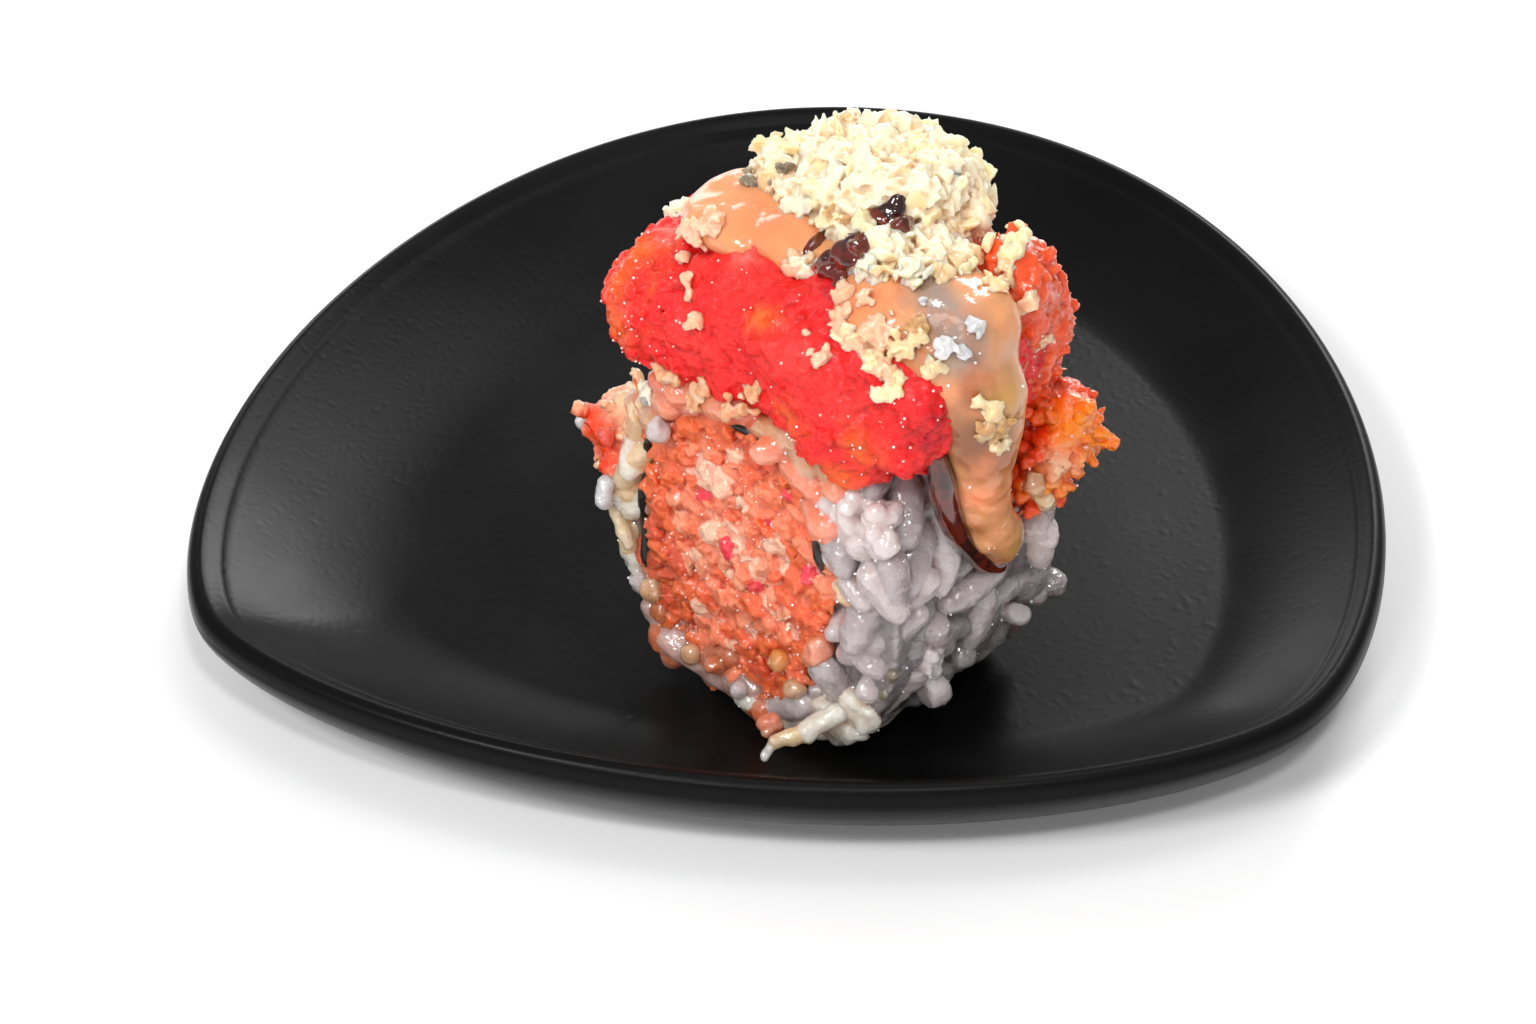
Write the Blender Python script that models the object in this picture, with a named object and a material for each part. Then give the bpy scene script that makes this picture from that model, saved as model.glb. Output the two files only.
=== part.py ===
"""A slice of uramaki roll, built together with the small pebble-shaped plate it lies on.

Metres, +Z up. The origin is under the middle of the plate, at the level of the table.
The roll is modelled in a frame of its own: x runs to the right along its front cut,
y runs back through the slice and z runs up from the floor of the plate.
"""

import math
import random

import bmesh
import bpy
from mathutils import Euler, Matrix, Vector, noise
from mathutils.bvhtree import BVHTree

MM = 0.001
GAP = 0.4 * MM  # air kept between touching pieces
SKIN_STEP = 0.0001 * MM  # how far past one skin the search for the next begins

# Plate, a rounded three-cornered pebble seen from above
PLATE_RADIUS = 65.6 * MM
PLATE_LOBES = (  # how many lobes, how far they stand out, and where the first one points
    (2, 0.9 * MM, math.radians(29.0)),
    (3, 4.46 * MM, math.radians(81.8)),
    (4, 1.33 * MM, math.radians(36.3)),
)
PLATE_STEPS = 48
PLATE_FLOOR = 5.0 * MM
RIM_TOP = 12.0 * MM
FOOT_HOLLOW = 0.8 * MM
FOOT_OUTER_INSET = 13.0 * MM
FOOT_INNER_INSET = 18.0 * MM

# The dish rises from its flat floor to a thin lip, over a slope wider to the back and left
SLOPE_WIDTH = 22.0 * MM  # from the outline in to the flat floor, on average
SLOPE_MORE_X = -4.0 * MM  # how much wider it is where the outline faces +x
SLOPE_MORE_Y = 5.5 * MM  # how much wider it is where the outline faces +y
SLOPE_SHARES = (0.0, 0.28, 0.48, 0.66, 0.83, 1.0)  # of the way from the floor to the lip
SLOPE_CURVE = 1.7
LIP_INSET = 1.7 * MM

# Roll: where its frame stands on the plate and how far its front cut is turned
ROLL_PLACE = (0.4 * MM, -47.9 * MM, PLATE_FLOOR)
ROLL_TURN = math.radians(-42.0)
ROLL_LENGTH = 24.0 * MM

# Cross sections: middle x, middle z, half width, half height, squareness
RICE_SECTION = (-5.5 * MM, 19.9 * MM, 18.9 * MM, 19.5 * MM, 2.45)
FILLING_SECTION = (-8.6 * MM, 20.0 * MM, 12.0 * MM, 16.6 * MM, 2.25)
SECTION_POINTS = 40
NORI_GAP = 0.35 * MM
NORI_THICKNESS = 0.4 * MM
NORI_PROUD = 0.4 * MM  # how far the seaweed stands out of each cut
TUNNEL_ROOM = NORI_GAP * 2 + NORI_THICKNESS  # from the filling to the rice round it

# Rice grains
GRAIN_LENGTH = 7.4 * MM
GRAIN_WIDTH = 3.2 * MM
GRAIN_SPACING = 3.0 * MM
CUT_GRAINS = 17
SIDE_GRAINS = 32
TRIES = 12  # places tried for each grain that is wanted
PRESSED_IN = 0.5 * MM  # how deep the middle of a grain or flake lies behind a cut

# Flakes of the filling at each cut, and crumbs of the crunchy heap
FLAKE_SIZE = 4.2 * MM
FLAKE_SPACING = 3.0 * MM
FLAKES_PER_CUT = 20
CRUMB_SIZE = 3.6 * MM
CRUMB_SPACING = 2.6 * MM
CRUMBS = 40


def start_empty():
    """Remove whatever the file holds."""
    for obj in list(bpy.data.objects):
        bpy.data.objects.remove(obj)


def new_collection(name):
    collection = bpy.data.collections.new(name)
    bpy.context.scene.collection.children.link(collection)
    return collection


def new_object(name, data, collection):
    obj = bpy.data.objects.new(name, data)
    collection.objects.link(obj)
    return obj


def object_from(bm, name, collection):
    """Turn a bmesh into an object and free it."""
    mesh = bpy.data.meshes.new(name)
    bm.to_mesh(mesh)
    bm.free()
    return new_object(name, mesh, collection)


def set_material(obj, colour, roughness):
    material = bpy.data.materials.new(obj.name)
    material.use_nodes = True
    shader = material.node_tree.nodes["Principled BSDF"]
    shader.inputs["Base Color"].default_value = (*colour, 1.0)
    shader.inputs["Roughness"].default_value = roughness
    shader.inputs["Metallic"].default_value = 0.0
    obj.data.materials.clear()
    obj.data.materials.append(material)


def apply_modifiers(obj):
    """Give the object the mesh that its modifiers make."""
    graph = bpy.context.evaluated_depsgraph_get()
    mesh = bpy.data.meshes.new_from_object(obj.evaluated_get(graph))
    obj.modifiers.clear()
    obj.data = mesh


def keep_main_body(obj):
    """Drop loose scraps and the walls of sealed hollows."""
    bm = bmesh.new()
    bm.from_mesh(obj.data)
    bodies = []
    left = set(bm.verts)
    while left:
        body = set()
        to_visit = [left.pop()]
        while to_visit:
            vertex = to_visit.pop()
            body.add(vertex)
            for link in vertex.link_edges:
                other = link.other_vert(vertex)
                if other in left:
                    left.remove(other)
                    to_visit.append(other)
        bodies.append(body)
    main = max(bodies, key=span_of)
    scraps = [vertex for body in bodies if body is not main for vertex in body]
    bmesh.ops.delete(bm, geom=scraps, context="VERTS")
    bm.to_mesh(obj.data)
    bm.free()


def span_of(vertices):
    """The sum of the three sides of the box round some vertices."""
    sides = zip(*(vertex.co for vertex in vertices))
    return sum(max(side) - min(side) for side in map(tuple, sides))


def fuse(core, pieces):
    """Join pieces to their core in one body."""
    group = new_collection(core.name + "_pieces")
    for piece in pieces:
        for holder in piece.users_collection:
            holder.objects.unlink(piece)
        group.objects.link(piece)
    join = core.modifiers.new("join", "BOOLEAN")
    join.operation = "UNION"
    join.operand_type = "COLLECTION"
    join.collection = group
    join.solver = "EXACT"
    apply_modifiers(core)
    for piece in pieces:
        bpy.data.objects.remove(piece)
    bpy.data.collections.remove(group)
    keep_main_body(core)


def grown(obj, gap, collection):
    """A copy of an object whose skin lies a gap further out."""
    bm = bmesh.new()
    bm.from_mesh(obj.data)
    bm.normal_update()
    moves = [vertex.normal * gap * vertex.calc_shell_factor() for vertex in bm.verts]
    for vertex, move in zip(bm.verts, moves):
        vertex.co += move
    cutter = object_from(bm, obj.name + "_room", collection)
    cutter.hide_render = True
    cutter.display_type = "WIRE"
    return cutter


def settle(lumps, rooms, collection):
    """Join lumps to one piece, cut back from what it lies on, and note the room it takes."""
    own_rooms = [grown(lump, GAP, collection) for lump in lumps]
    piece = lumps[0]
    if len(lumps) > 1:
        fuse(piece, lumps[1:])
    for room in rooms:
        cut = piece.modifiers.new("room", "BOOLEAN")
        cut.operation = "DIFFERENCE"
        cut.object = room
        cut.solver = "EXACT"
    apply_modifiers(piece)
    keep_main_body(piece)
    rooms += own_rooms
    return piece


def tree_of(obj, matrix=None):
    """A search tree over an object's faces, in the roll's frame."""
    bm = bmesh.new()
    bm.from_mesh(obj.data)
    if matrix is not None:
        bm.transform(matrix)
    tree = BVHTree.FromBMesh(bm)
    bm.free()
    return tree


def is_inside(point, tree):
    """Whether a point lies inside a closed piece, by counting the skins above it."""
    way = Vector((0.013, 0.007, 1.0)).normalized()
    inside = False
    hit = tree.ray_cast(point, way)[0]
    while hit is not None:
        inside = not inside
        hit = tree.ray_cast(hit + way * SKIN_STEP, way)[0]
    return inside


def is_clear(bm, trees):
    """Whether a small piece, a little enlarged, touches none of its neighbours."""
    middle = sum((vertex.co for vertex in bm.verts), Vector()) / len(bm.verts)
    room = bm.copy()
    for vertex in room.verts:
        vertex.co += (vertex.co - middle).normalized() * GAP
    room_tree = BVHTree.FromBMesh(room)
    room.free()
    return not any(room_tree.overlap(tree) or is_inside(middle, tree) for tree in trees)


def plate_reach(angle):
    """The plate's edge where its outline faces the given angle."""
    reach = PLATE_RADIUS
    slope = 0.0
    for lobes, depth, first in PLATE_LOBES:
        reach += depth * math.cos(lobes * (angle - first))
        slope -= depth * lobes * math.sin(lobes * (angle - first))
    x = reach * math.cos(angle) - slope * math.sin(angle)
    y = reach * math.sin(angle) + slope * math.cos(angle)
    return x, y


def plate_middle():
    """The middle of the box round the plate's outline."""
    turns = [math.tau * step / PLATE_STEPS for step in range(PLATE_STEPS)]
    xs, ys = zip(*(plate_reach(turn) for turn in turns))
    return (max(xs) + min(xs)) / 2, (max(ys) + min(ys)) / 2


def plate_section(angle):
    """Inset from the rim and height at one angle, from the edge of the floor out and under."""
    slope = SLOPE_WIDTH + SLOPE_MORE_X * math.cos(angle) + SLOPE_MORE_Y * math.sin(angle)
    section = []
    for share in SLOPE_SHARES:
        rise = (RIM_TOP - PLATE_FLOOR) * share**SLOPE_CURVE
        section.append((slope + (LIP_INSET - slope) * share, PLATE_FLOOR + rise))
    lip = ((0.9, 11.95), (0.35, 11.6), (0.05, 10.9), (0.0, 10.2), (0.0, 9.4))
    under = ((0.5, 8.2), (1.6, 6.4), (3.4, 4.4), (6.5, 2.2), (10.0, 1.0))
    section += [(inset * MM, height * MM) for inset, height in lip + under]
    section += [(FOOT_OUTER_INSET, 0.0), (FOOT_INNER_INSET - 1.0 * MM, 0.0)]
    section.append((FOOT_INNER_INSET, FOOT_HOLLOW))
    return section


def make_plate(collection):
    """Stand the section at each angle round the pebble's outline and skin over them."""
    bm = bmesh.new()
    middle_x, middle_y = plate_middle()
    columns = []
    for step in range(PLATE_STEPS):
        angle = math.tau * step / PLATE_STEPS
        edge_x, edge_y = plate_reach(angle)
        column = []
        for inset, height in plate_section(angle):
            ratio = 1.0 - inset / PLATE_RADIUS
            spot = (ratio * (edge_x - middle_x), ratio * (edge_y - middle_y), height)
            column.append(bm.verts.new(spot))
        columns.append(column)
    above = bm.verts.new((0.0, 0.0, PLATE_FLOOR))
    below = bm.verts.new((0.0, 0.0, FOOT_HOLLOW))
    for near, far in zip(columns, columns[1:] + columns[:1]):
        bm.faces.new((above, near[0], far[0]))
        for ring in range(len(near) - 1):
            bm.faces.new((near[ring], near[ring + 1], far[ring + 1], far[ring]))
        bm.faces.new((below, far[-1], near[-1]))
    plate = object_from(bm, "plate", collection)
    plate.data.shade_smooth()
    return plate


def section_point(section, turn, grow=0.0):
    """A point on a rounded section, at a turn from its right-hand side."""
    middle_x, middle_z, half_width, half_height, squareness = section
    across = math.cos(turn)
    up = math.sin(turn)
    x = math.copysign(abs(across) ** (2 / squareness), across)
    z = math.copysign(abs(up) ** (2 / squareness), up)
    return middle_x + (half_width + grow) * x, middle_z + (half_height + grow) * z


def section_fill(section, x, z, grow=0.0):
    """Below 1 inside a section, above 1 outside it."""
    middle_x, middle_z, half_width, half_height, squareness = section
    across = abs(x - middle_x) / (half_width + grow)
    up = abs(z - middle_z) / (half_height + grow)
    return across**squareness + up**squareness


def extruded(name, loops, length, collection):
    """A flat outline, with a hole where there are two loops, run back through the slice."""
    curve = bpy.data.curves.new(name, "CURVE")
    curve.dimensions = "2D"
    curve.fill_mode = "BOTH"
    curve.extrude = length / 2
    for section, grow in loops:
        spline = curve.splines.new("POLY")
        spline.points.add(SECTION_POINTS - 1)
        spline.use_cyclic_u = True
        for step, point in enumerate(spline.points):
            x, z = section_point(section, math.tau * (step + 0.5) / SECTION_POINTS, grow)
            point.co = (x, z, 0.0, 1.0)
    outline = new_object(name, curve, collection)
    outline.rotation_euler = (math.pi / 2, 0.0, 0.0)
    outline.location = (0.0, ROLL_LENGTH / 2, 0.0)
    bpy.context.view_layer.update()
    graph = bpy.context.evaluated_depsgraph_get()
    mesh = bpy.data.meshes.new_from_object(outline.evaluated_get(graph))
    mesh.transform(outline.matrix_world)
    bpy.data.objects.remove(outline)
    bm = bmesh.new()
    bm.from_mesh(mesh)
    bmesh.ops.remove_doubles(bm, verts=bm.verts, dist=0.00001)
    bmesh.ops.recalc_face_normals(bm, faces=bm.faces)
    bm.to_mesh(mesh)
    bm.free()
    return new_object(name, mesh, collection)


def blob(name, place, half_sizes, collection, squareness=2.5, detail=4, bump=0.0, grain=3.0 * MM):
    """A rounded lump with a bumpy skin, for paste, sauce and heaps."""
    bm = bmesh.new()
    bmesh.ops.create_icosphere(bm, subdivisions=detail, radius=1.0)
    half = Vector(half_sizes)
    place = Vector(place)
    for vertex in bm.verts:
        way = vertex.co.normalized()
        reach = sum(abs(side) ** squareness for side in way) ** (-1 / squareness)
        spot = Vector(side * size for side, size in zip(way * reach, half))
        swell = bump * noise.noise((spot + place) / grain)
        vertex.co = place + spot + way * swell
    return object_from(bm, name, collection)


def make_rice_core(collection):
    loops = ((RICE_SECTION, 0.0), (FILLING_SECTION, TUNNEL_ROOM))
    return extruded("rice", loops, ROLL_LENGTH, collection)


def make_nori(collection):
    loops = ((FILLING_SECTION, NORI_GAP + NORI_THICKNESS), (FILLING_SECTION, NORI_GAP))
    return extruded("nori", loops, ROLL_LENGTH + NORI_PROUD * 2, collection)


def grain_mesh(place, way, length, width):
    """One plump grain of rice lying along a direction."""
    bm = bmesh.new()
    bmesh.ops.create_uvsphere(bm, u_segments=5, v_segments=4, radius=1.0)
    for vertex in bm.verts:
        if abs(vertex.co.z) < 0.9:
            plump = (1.0 - abs(vertex.co.z) ** 3) ** (1 / 3)
            vertex.co.xy = vertex.co.xy.normalized() * plump
    shape = Matrix.Diagonal((width / 2, width * 0.46, length / 2, 1.0))
    turn = way.to_track_quat("Z", "Y").to_matrix().to_4x4()
    bm.transform(Matrix.Translation(place) @ turn @ shape)
    return bm


def chip_mesh(place, size, rng):
    """One angular chip or flake, stretched and turned at random."""
    bm = bmesh.new()
    bmesh.ops.create_icosphere(bm, subdivisions=1, radius=0.5)
    shape = Matrix.Diagonal([size * rng.uniform(0.7, 1.25) for _ in range(3)] + [1.0])
    turn = Euler([rng.uniform(0.0, math.tau) for _ in range(3)]).to_matrix().to_4x4()
    bm.transform(Matrix.Translation(place) @ turn @ shape)
    return bm


def is_apart(place, others, spacing):
    return all((place - other).length > spacing for other in others)


def cut_spots(rng, count, y):
    """Places for grains in the band of rice at one cut, with their directions."""
    spots = []
    while len(spots) < count:
        turn = rng.uniform(0.0, math.tau)
        outer_x, outer_z = section_point(RICE_SECTION, turn, -0.6 * MM)
        inner_x, inner_z = section_point(FILLING_SECTION, turn, TUNNEL_ROOM + 1.0 * MM)
        share = rng.random()
        x = inner_x + (outer_x - inner_x) * share
        z = inner_z + (outer_z - inner_z) * share
        tilt = rng.uniform(0.0, math.pi)
        way = Vector((math.cos(tilt), rng.uniform(-0.35, 0.35), math.sin(tilt)))
        spots.append((Vector((x, y, z)), way))
    return spots


def side_spots(rng, count):
    """Places for grains round the outside of the roll, with their directions."""
    spots = []
    for _ in range(count):
        turn = rng.uniform(0.0, math.tau)
        x, z = section_point(RICE_SECTION, turn, -0.3 * MM)
        ahead_x, ahead_z = section_point(RICE_SECTION, turn + 0.05, -0.3 * MM)
        round_way = Vector((ahead_x - x, 0.0, ahead_z - z)).normalized()
        lean = rng.uniform(0.0, math.pi)
        way = round_way * math.cos(lean) + Vector((0.0, math.sin(lean), 0.0))
        y = rng.uniform(2.0 * MM, ROLL_LENGTH - 2.0 * MM)
        spots.append((Vector((x, y, z)), way))
    return spots


def add_grains(rice, trees, collection):
    """Press grains into both cuts and the outside, wherever nothing else lies."""
    rng = random.Random(11)
    grains = []
    for y in (PRESSED_IN, ROLL_LENGTH - PRESSED_IN):
        candidates = cut_spots(rng, CUT_GRAINS * TRIES, y)
        grains += placed_grains(candidates, CUT_GRAINS, trees, rng, collection)
    candidates = side_spots(rng, SIDE_GRAINS * TRIES)
    grains += placed_grains(candidates, SIDE_GRAINS, trees, rng, collection)
    fuse(rice, grains)


def placed_grains(candidates, count, trees, rng, collection):
    """The grains, up to a count, that lie apart and clear of their neighbours."""
    taken = []
    grains = []
    for place, way in candidates:
        if len(grains) == count:
            break
        if not is_apart(place, taken, GRAIN_SPACING):
            continue
        length = GRAIN_LENGTH * rng.uniform(0.7, 1.1)
        bm = grain_mesh(place, way, length, GRAIN_WIDTH * rng.uniform(0.85, 1.1))
        if not is_clear(bm, trees):
            bm.free()
            continue
        taken.append(place)
        grains.append(object_from(bm, "grain", collection))
    return grains


def make_filling(collection):
    """The flaked filling: a core with flakes that stand out of both cuts."""
    filling = extruded("filling", ((FILLING_SECTION, 0.0),), ROLL_LENGTH - 1.0 * MM, collection)
    rng = random.Random(5)
    flakes = []
    for y in (PRESSED_IN, ROLL_LENGTH - PRESSED_IN):
        taken = []
        while len(taken) < FLAKES_PER_CUT:
            x = rng.uniform(-1.0, 1.0) * FILLING_SECTION[2] + FILLING_SECTION[0]
            z = rng.uniform(-1.0, 1.0) * FILLING_SECTION[3] + FILLING_SECTION[1]
            place = Vector((x, y, z))
            if section_fill(FILLING_SECTION, x, z, -2.3 * MM) > 1.0:
                continue
            if not is_apart(place, taken, FLAKE_SPACING):
                continue
            taken.append(place)
            size = FLAKE_SIZE * rng.uniform(0.8, 1.1)
            flakes.append(object_from(chip_mesh(place, size, rng), "flake", collection))
    fuse(filling, flakes)
    return filling


def make_tuna(rooms, collection):
    """The slab of minced tuna laid over the roll, with a lobe that sags to the front right."""
    tuna = blob("tuna", (-1.2 * MM, 10.6 * MM, 45.6 * MM), (17.6 * MM, 12.6 * MM, 8.6 * MM),
                collection, squareness=3.4, bump=1.4 * MM, grain=4.5 * MM)
    end = blob("left_end", (-16.6 * MM, 7.6 * MM, 44.0 * MM), (9.8 * MM, 9.6 * MM, 6.8 * MM),
               collection, squareness=3.2, detail=3, bump=1.4 * MM, grain=4.5 * MM)
    lobe = blob("lobe", (6.4 * MM, 2.6 * MM, 41.2 * MM), (6.0 * MM, 4.4 * MM, 5.4 * MM),
                collection, detail=3, bump=0.8 * MM)
    return settle([tuna, end, lobe], rooms, collection)


def make_right_mince(rooms, collection):
    """Salmon mince that hangs down the right-hand side, behind the sauce."""
    mince = blob("mince_right", (11.8 * MM, 19.2 * MM, 46.2 * MM), (5.0 * MM, 6.0 * MM, 11.2 * MM),
                 collection, detail=3, bump=1.6 * MM, grain=3.6 * MM)
    spur = blob("spur", (15.2 * MM, 22.0 * MM, 35.8 * MM), (3.8 * MM, 4.6 * MM, 4.0 * MM),
                collection, detail=2, bump=1.4 * MM)
    tail = blob("tail", (14.8 * MM, 19.2 * MM, 31.4 * MM), (2.6 * MM, 2.6 * MM, 4.4 * MM),
                collection, detail=2, bump=0.8 * MM)
    return settle([mince, spur, tail], rooms, collection)


def make_left_mince(rooms, collection):
    """A smaller clump of mince that clings to the left-hand side."""
    mince = blob("mince_left", (-26.0 * MM, 4.2 * MM, 24.2 * MM), (5.0 * MM, 4.6 * MM, 4.4 * MM),
                 collection, detail=3, bump=1.5 * MM, grain=3.2 * MM)
    return settle([mince], rooms, collection)


def make_sauce(rooms, collection):
    """Mayonnaise sauce: a coat over the top and a thick drip down the right-hand side."""
    coat = blob("sauce", (-4.6 * MM, 16.4 * MM, 54.0 * MM), (12.0 * MM, 6.6 * MM, 3.0 * MM),
                collection, detail=2)
    left = blob("left_patch", (-14.6 * MM, 9.6 * MM, 53.4 * MM), (7.0 * MM, 6.4 * MM, 2.6 * MM),
                collection, detail=3, bump=0.8 * MM, grain=6.0 * MM)
    shoulder = blob("shoulder", (8.6 * MM, 8.8 * MM, 52.4 * MM), (8.8 * MM, 7.8 * MM, 5.6 * MM),
                    collection, detail=3, bump=0.8 * MM, grain=6.0 * MM)
    return settle([coat, left, shoulder, *make_drip(collection)], rooms, collection)


def make_drip(collection):
    """The drip, a bent tube that swells and narrows and ends in a round drop."""
    route = (  # x, y, z and thickness, in millimetres
        (12.6, 8.0, 52.0, 5.4),
        (15.4, 8.6, 47.0, 5.0),
        (15.6, 9.0, 41.0, 4.7),
        (14.8, 10.0, 35.0, 4.0),
        (14.4, 11.8, 30.0, 3.3),
        (14.2, 14.2, 25.6, 2.9),
    )
    curve = bpy.data.curves.new("drip", "CURVE")
    curve.dimensions = "3D"
    curve.bevel_depth = MM
    curve.bevel_resolution = 3
    curve.use_fill_caps = True
    curve.resolution_u = 3
    spline = curve.splines.new("BEZIER")
    spline.bezier_points.add(len(route) - 1)
    for point, (x, y, z, thickness) in zip(spline.bezier_points, route):
        point.co = (x * MM, y * MM, z * MM)
        point.radius = thickness
        point.handle_left_type = "AUTO"
        point.handle_right_type = "AUTO"
    path = new_object("drip", curve, collection)
    graph = bpy.context.evaluated_depsgraph_get()
    mesh = bpy.data.meshes.new_from_object(path.evaluated_get(graph))
    bpy.data.objects.remove(path)
    bm = bmesh.new()
    bm.from_mesh(mesh)
    bmesh.ops.remove_doubles(bm, verts=bm.verts, dist=0.00001)
    drip = object_from(bm, "drip", collection)
    x, y, z, thickness = route[-1]
    drop = blob("drop", (x * MM, y * MM, (z - 0.4) * MM), [thickness * MM * 1.04] * 3,
                collection, squareness=2.0, detail=2)
    return drip, drop


def make_tempura(neighbours, rooms, collection):
    """The heap of crunchy batter crumbs on top."""
    heap = blob("tempura", (-3.4 * MM, 17.8 * MM, 56.8 * MM), (9.6 * MM, 7.8 * MM, 6.2 * MM),
                collection, squareness=2.8, detail=2)
    left = blob("left_slope", (-12.4 * MM, 17.0 * MM, 55.8 * MM), (7.6 * MM, 5.6 * MM, 3.8 * MM),
                collection, detail=2)
    front = blob("front_slope", (4.4 * MM, 11.0 * MM, 56.2 * MM), (6.4 * MM, 5.0 * MM, 3.8 * MM),
                 collection, detail=2)
    settle([heap, left, front], rooms, collection)
    trees = [tree_of(other) for other in neighbours]
    rng = random.Random(23)
    bm = bmesh.new()
    bm.from_mesh(heap.data)
    bm.normal_update()
    skin = [(face.calc_center_median(), face.normal.copy()) for face in bm.faces]
    bm.free()
    rng.shuffle(skin)
    taken = []
    crumbs = []
    for place, normal in skin:
        if len(crumbs) == CRUMBS:
            break
        size = CRUMB_SIZE * rng.uniform(0.75, 1.3)
        place = place + normal * 0.2 * size
        if normal.z < -0.2 or not is_apart(place, taken, CRUMB_SPACING):
            continue
        crumb = chip_mesh(place, size, rng)
        if not is_clear(crumb, trees):
            crumb.free()
            continue
        taken.append(place)
        crumbs.append(object_from(crumb, "crumb", collection))
    fuse(heap, crumbs)
    return heap


def place_roll(pieces, collection):
    """Hang the roll's pieces on the frame that stands on the plate."""
    frame = new_object("roll_frame", None, collection)
    frame.location = ROLL_PLACE
    frame.rotation_euler = (0.0, 0.0, ROLL_TURN)
    for piece in pieces:
        piece.parent = frame


def main():
    start_empty()
    collection = new_collection("uramaki_roll")
    plate = make_plate(collection)
    rice = make_rice_core(collection)
    nori = make_nori(collection)
    filling = make_filling(collection)
    rooms = [grown(rice, GAP, collection)]
    tuna = make_tuna(rooms, collection)
    right = make_right_mince(rooms, collection)
    left = make_left_mince(rooms, collection)
    sauce = make_sauce(rooms, collection)
    heap = make_tempura((rice, tuna, right, sauce), rooms, collection)
    for room in rooms:
        bpy.data.objects.remove(room)
    stand = Matrix.Translation(ROLL_PLACE) @ Matrix.Rotation(ROLL_TURN, 4, "Z")
    trees = [tree_of(piece) for piece in (nori, filling, tuna, right, left, sauce, heap)]
    trees.append(tree_of(plate, stand.inverted()))
    add_grains(rice, trees, collection)
    place_roll((rice, nori, filling, tuna, right, left, sauce, heap), collection)
    set_material(plate, (0.012, 0.012, 0.012), 0.5)
    set_material(rice, (0.55, 0.52, 0.58), 0.25)
    set_material(nori, (0.010, 0.014, 0.010), 0.4)
    set_material(filling, (0.85, 0.27, 0.16), 0.3)
    set_material(tuna, (0.85, 0.035, 0.035), 0.25)
    set_material(right, (0.85, 0.18, 0.03), 0.3)
    set_material(left, (0.80, 0.30, 0.12), 0.3)
    set_material(sauce, (0.72, 0.38, 0.22), 0.2)
    set_material(heap, (0.88, 0.78, 0.52), 0.5)


main()
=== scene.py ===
"""Looks for the uramaki roll slice on its plate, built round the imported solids.

Everything of the roll is made in the roll's own frame (x right along the front cut, y back
through the slice, z up from the plate's floor) and then set on the plate, in metres.
"""

import itertools
import math
import random

import bmesh
import bpy
import numpy as np
from mathutils import Euler, Matrix, Vector
from mathutils.bvhtree import BVHTree

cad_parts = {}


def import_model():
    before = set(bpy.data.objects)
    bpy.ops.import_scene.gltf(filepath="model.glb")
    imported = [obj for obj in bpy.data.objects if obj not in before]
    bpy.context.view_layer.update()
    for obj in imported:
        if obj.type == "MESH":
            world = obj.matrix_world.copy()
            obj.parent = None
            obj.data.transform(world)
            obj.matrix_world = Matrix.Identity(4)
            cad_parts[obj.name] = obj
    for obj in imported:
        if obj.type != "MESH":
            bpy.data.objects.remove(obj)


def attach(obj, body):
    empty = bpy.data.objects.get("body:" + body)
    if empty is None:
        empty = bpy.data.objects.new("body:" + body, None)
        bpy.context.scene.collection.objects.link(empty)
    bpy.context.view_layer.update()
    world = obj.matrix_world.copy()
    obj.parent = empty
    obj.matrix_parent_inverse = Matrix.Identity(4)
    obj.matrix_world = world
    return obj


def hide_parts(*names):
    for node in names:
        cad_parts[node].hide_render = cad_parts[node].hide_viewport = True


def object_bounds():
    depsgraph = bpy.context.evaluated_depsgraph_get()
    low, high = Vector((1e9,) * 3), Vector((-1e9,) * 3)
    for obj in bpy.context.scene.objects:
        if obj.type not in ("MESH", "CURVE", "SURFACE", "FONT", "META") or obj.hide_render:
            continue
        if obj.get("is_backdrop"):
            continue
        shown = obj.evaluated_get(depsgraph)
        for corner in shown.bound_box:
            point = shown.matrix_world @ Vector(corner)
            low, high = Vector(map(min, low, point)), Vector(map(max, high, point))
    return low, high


MM = 0.001

# Photograph's frame and the camera worked out from the plate's outline
PHOTO_WIDTH = 1536
PHOTO_HEIGHT = 1024
FOCAL_PIXELS = 4057
SENSOR_WIDTH = 36.0
CAMERA_RISE = math.radians(38.0)
CAMERA_DISTANCE = 450 * MM
CAMERA_AIM = Vector((-2.4, -11.04, 6.0)) * MM

# Plate, as the solid has it: a rounded three-cornered pebble
PLATE_RADIUS = 65.6 * MM
PLATE_LOBES = (  # how many lobes, how far they stand out, and where the first one points
    (2, 0.9 * MM, math.radians(29.0)),
    (3, 4.46 * MM, math.radians(81.8)),
    (4, 1.33 * MM, math.radians(36.3)),
)
PLATE_STEPS = 240
PLATE_FLOOR = 5.0  # heights and widths in millimetres from here on
RIM_TOP = 12.0
SLOPE_WIDTH = 22.0
SLOPE_MORE_X = -4.0
SLOPE_MORE_Y = 5.5
SLOPE_CURVE = 1.7
SLOPE_RINGS = 24
LIP_INSET = 1.7
RIM_PROFILE = (  # inset from the outline and height, from the lip out, under and to the foot
    (0.9, 11.97), (0.35, 11.6), (0.05, 10.9), (0.0, 10.2), (0.0, 9.5), (0.5, 8.2), (1.6, 6.4),
    (3.4, 4.4), (6.5, 2.2), (10.0, 1.0), (13.0, 0.0), (17.0, 0.0), (18.0, 0.8), (30.0, 0.8),
)
PROFILE_CUTS = 3  # pieces that each stretch of the rim's profile is cut into

# Roll: how its frame stands on the plate
STAND = Matrix.Translation(Vector((0.4, -47.9, 5.0)) * MM) @ Matrix.Rotation(
    math.radians(-42.0), 4, "Z"
)
ROLL_LENGTH = 24.0 * MM
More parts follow.
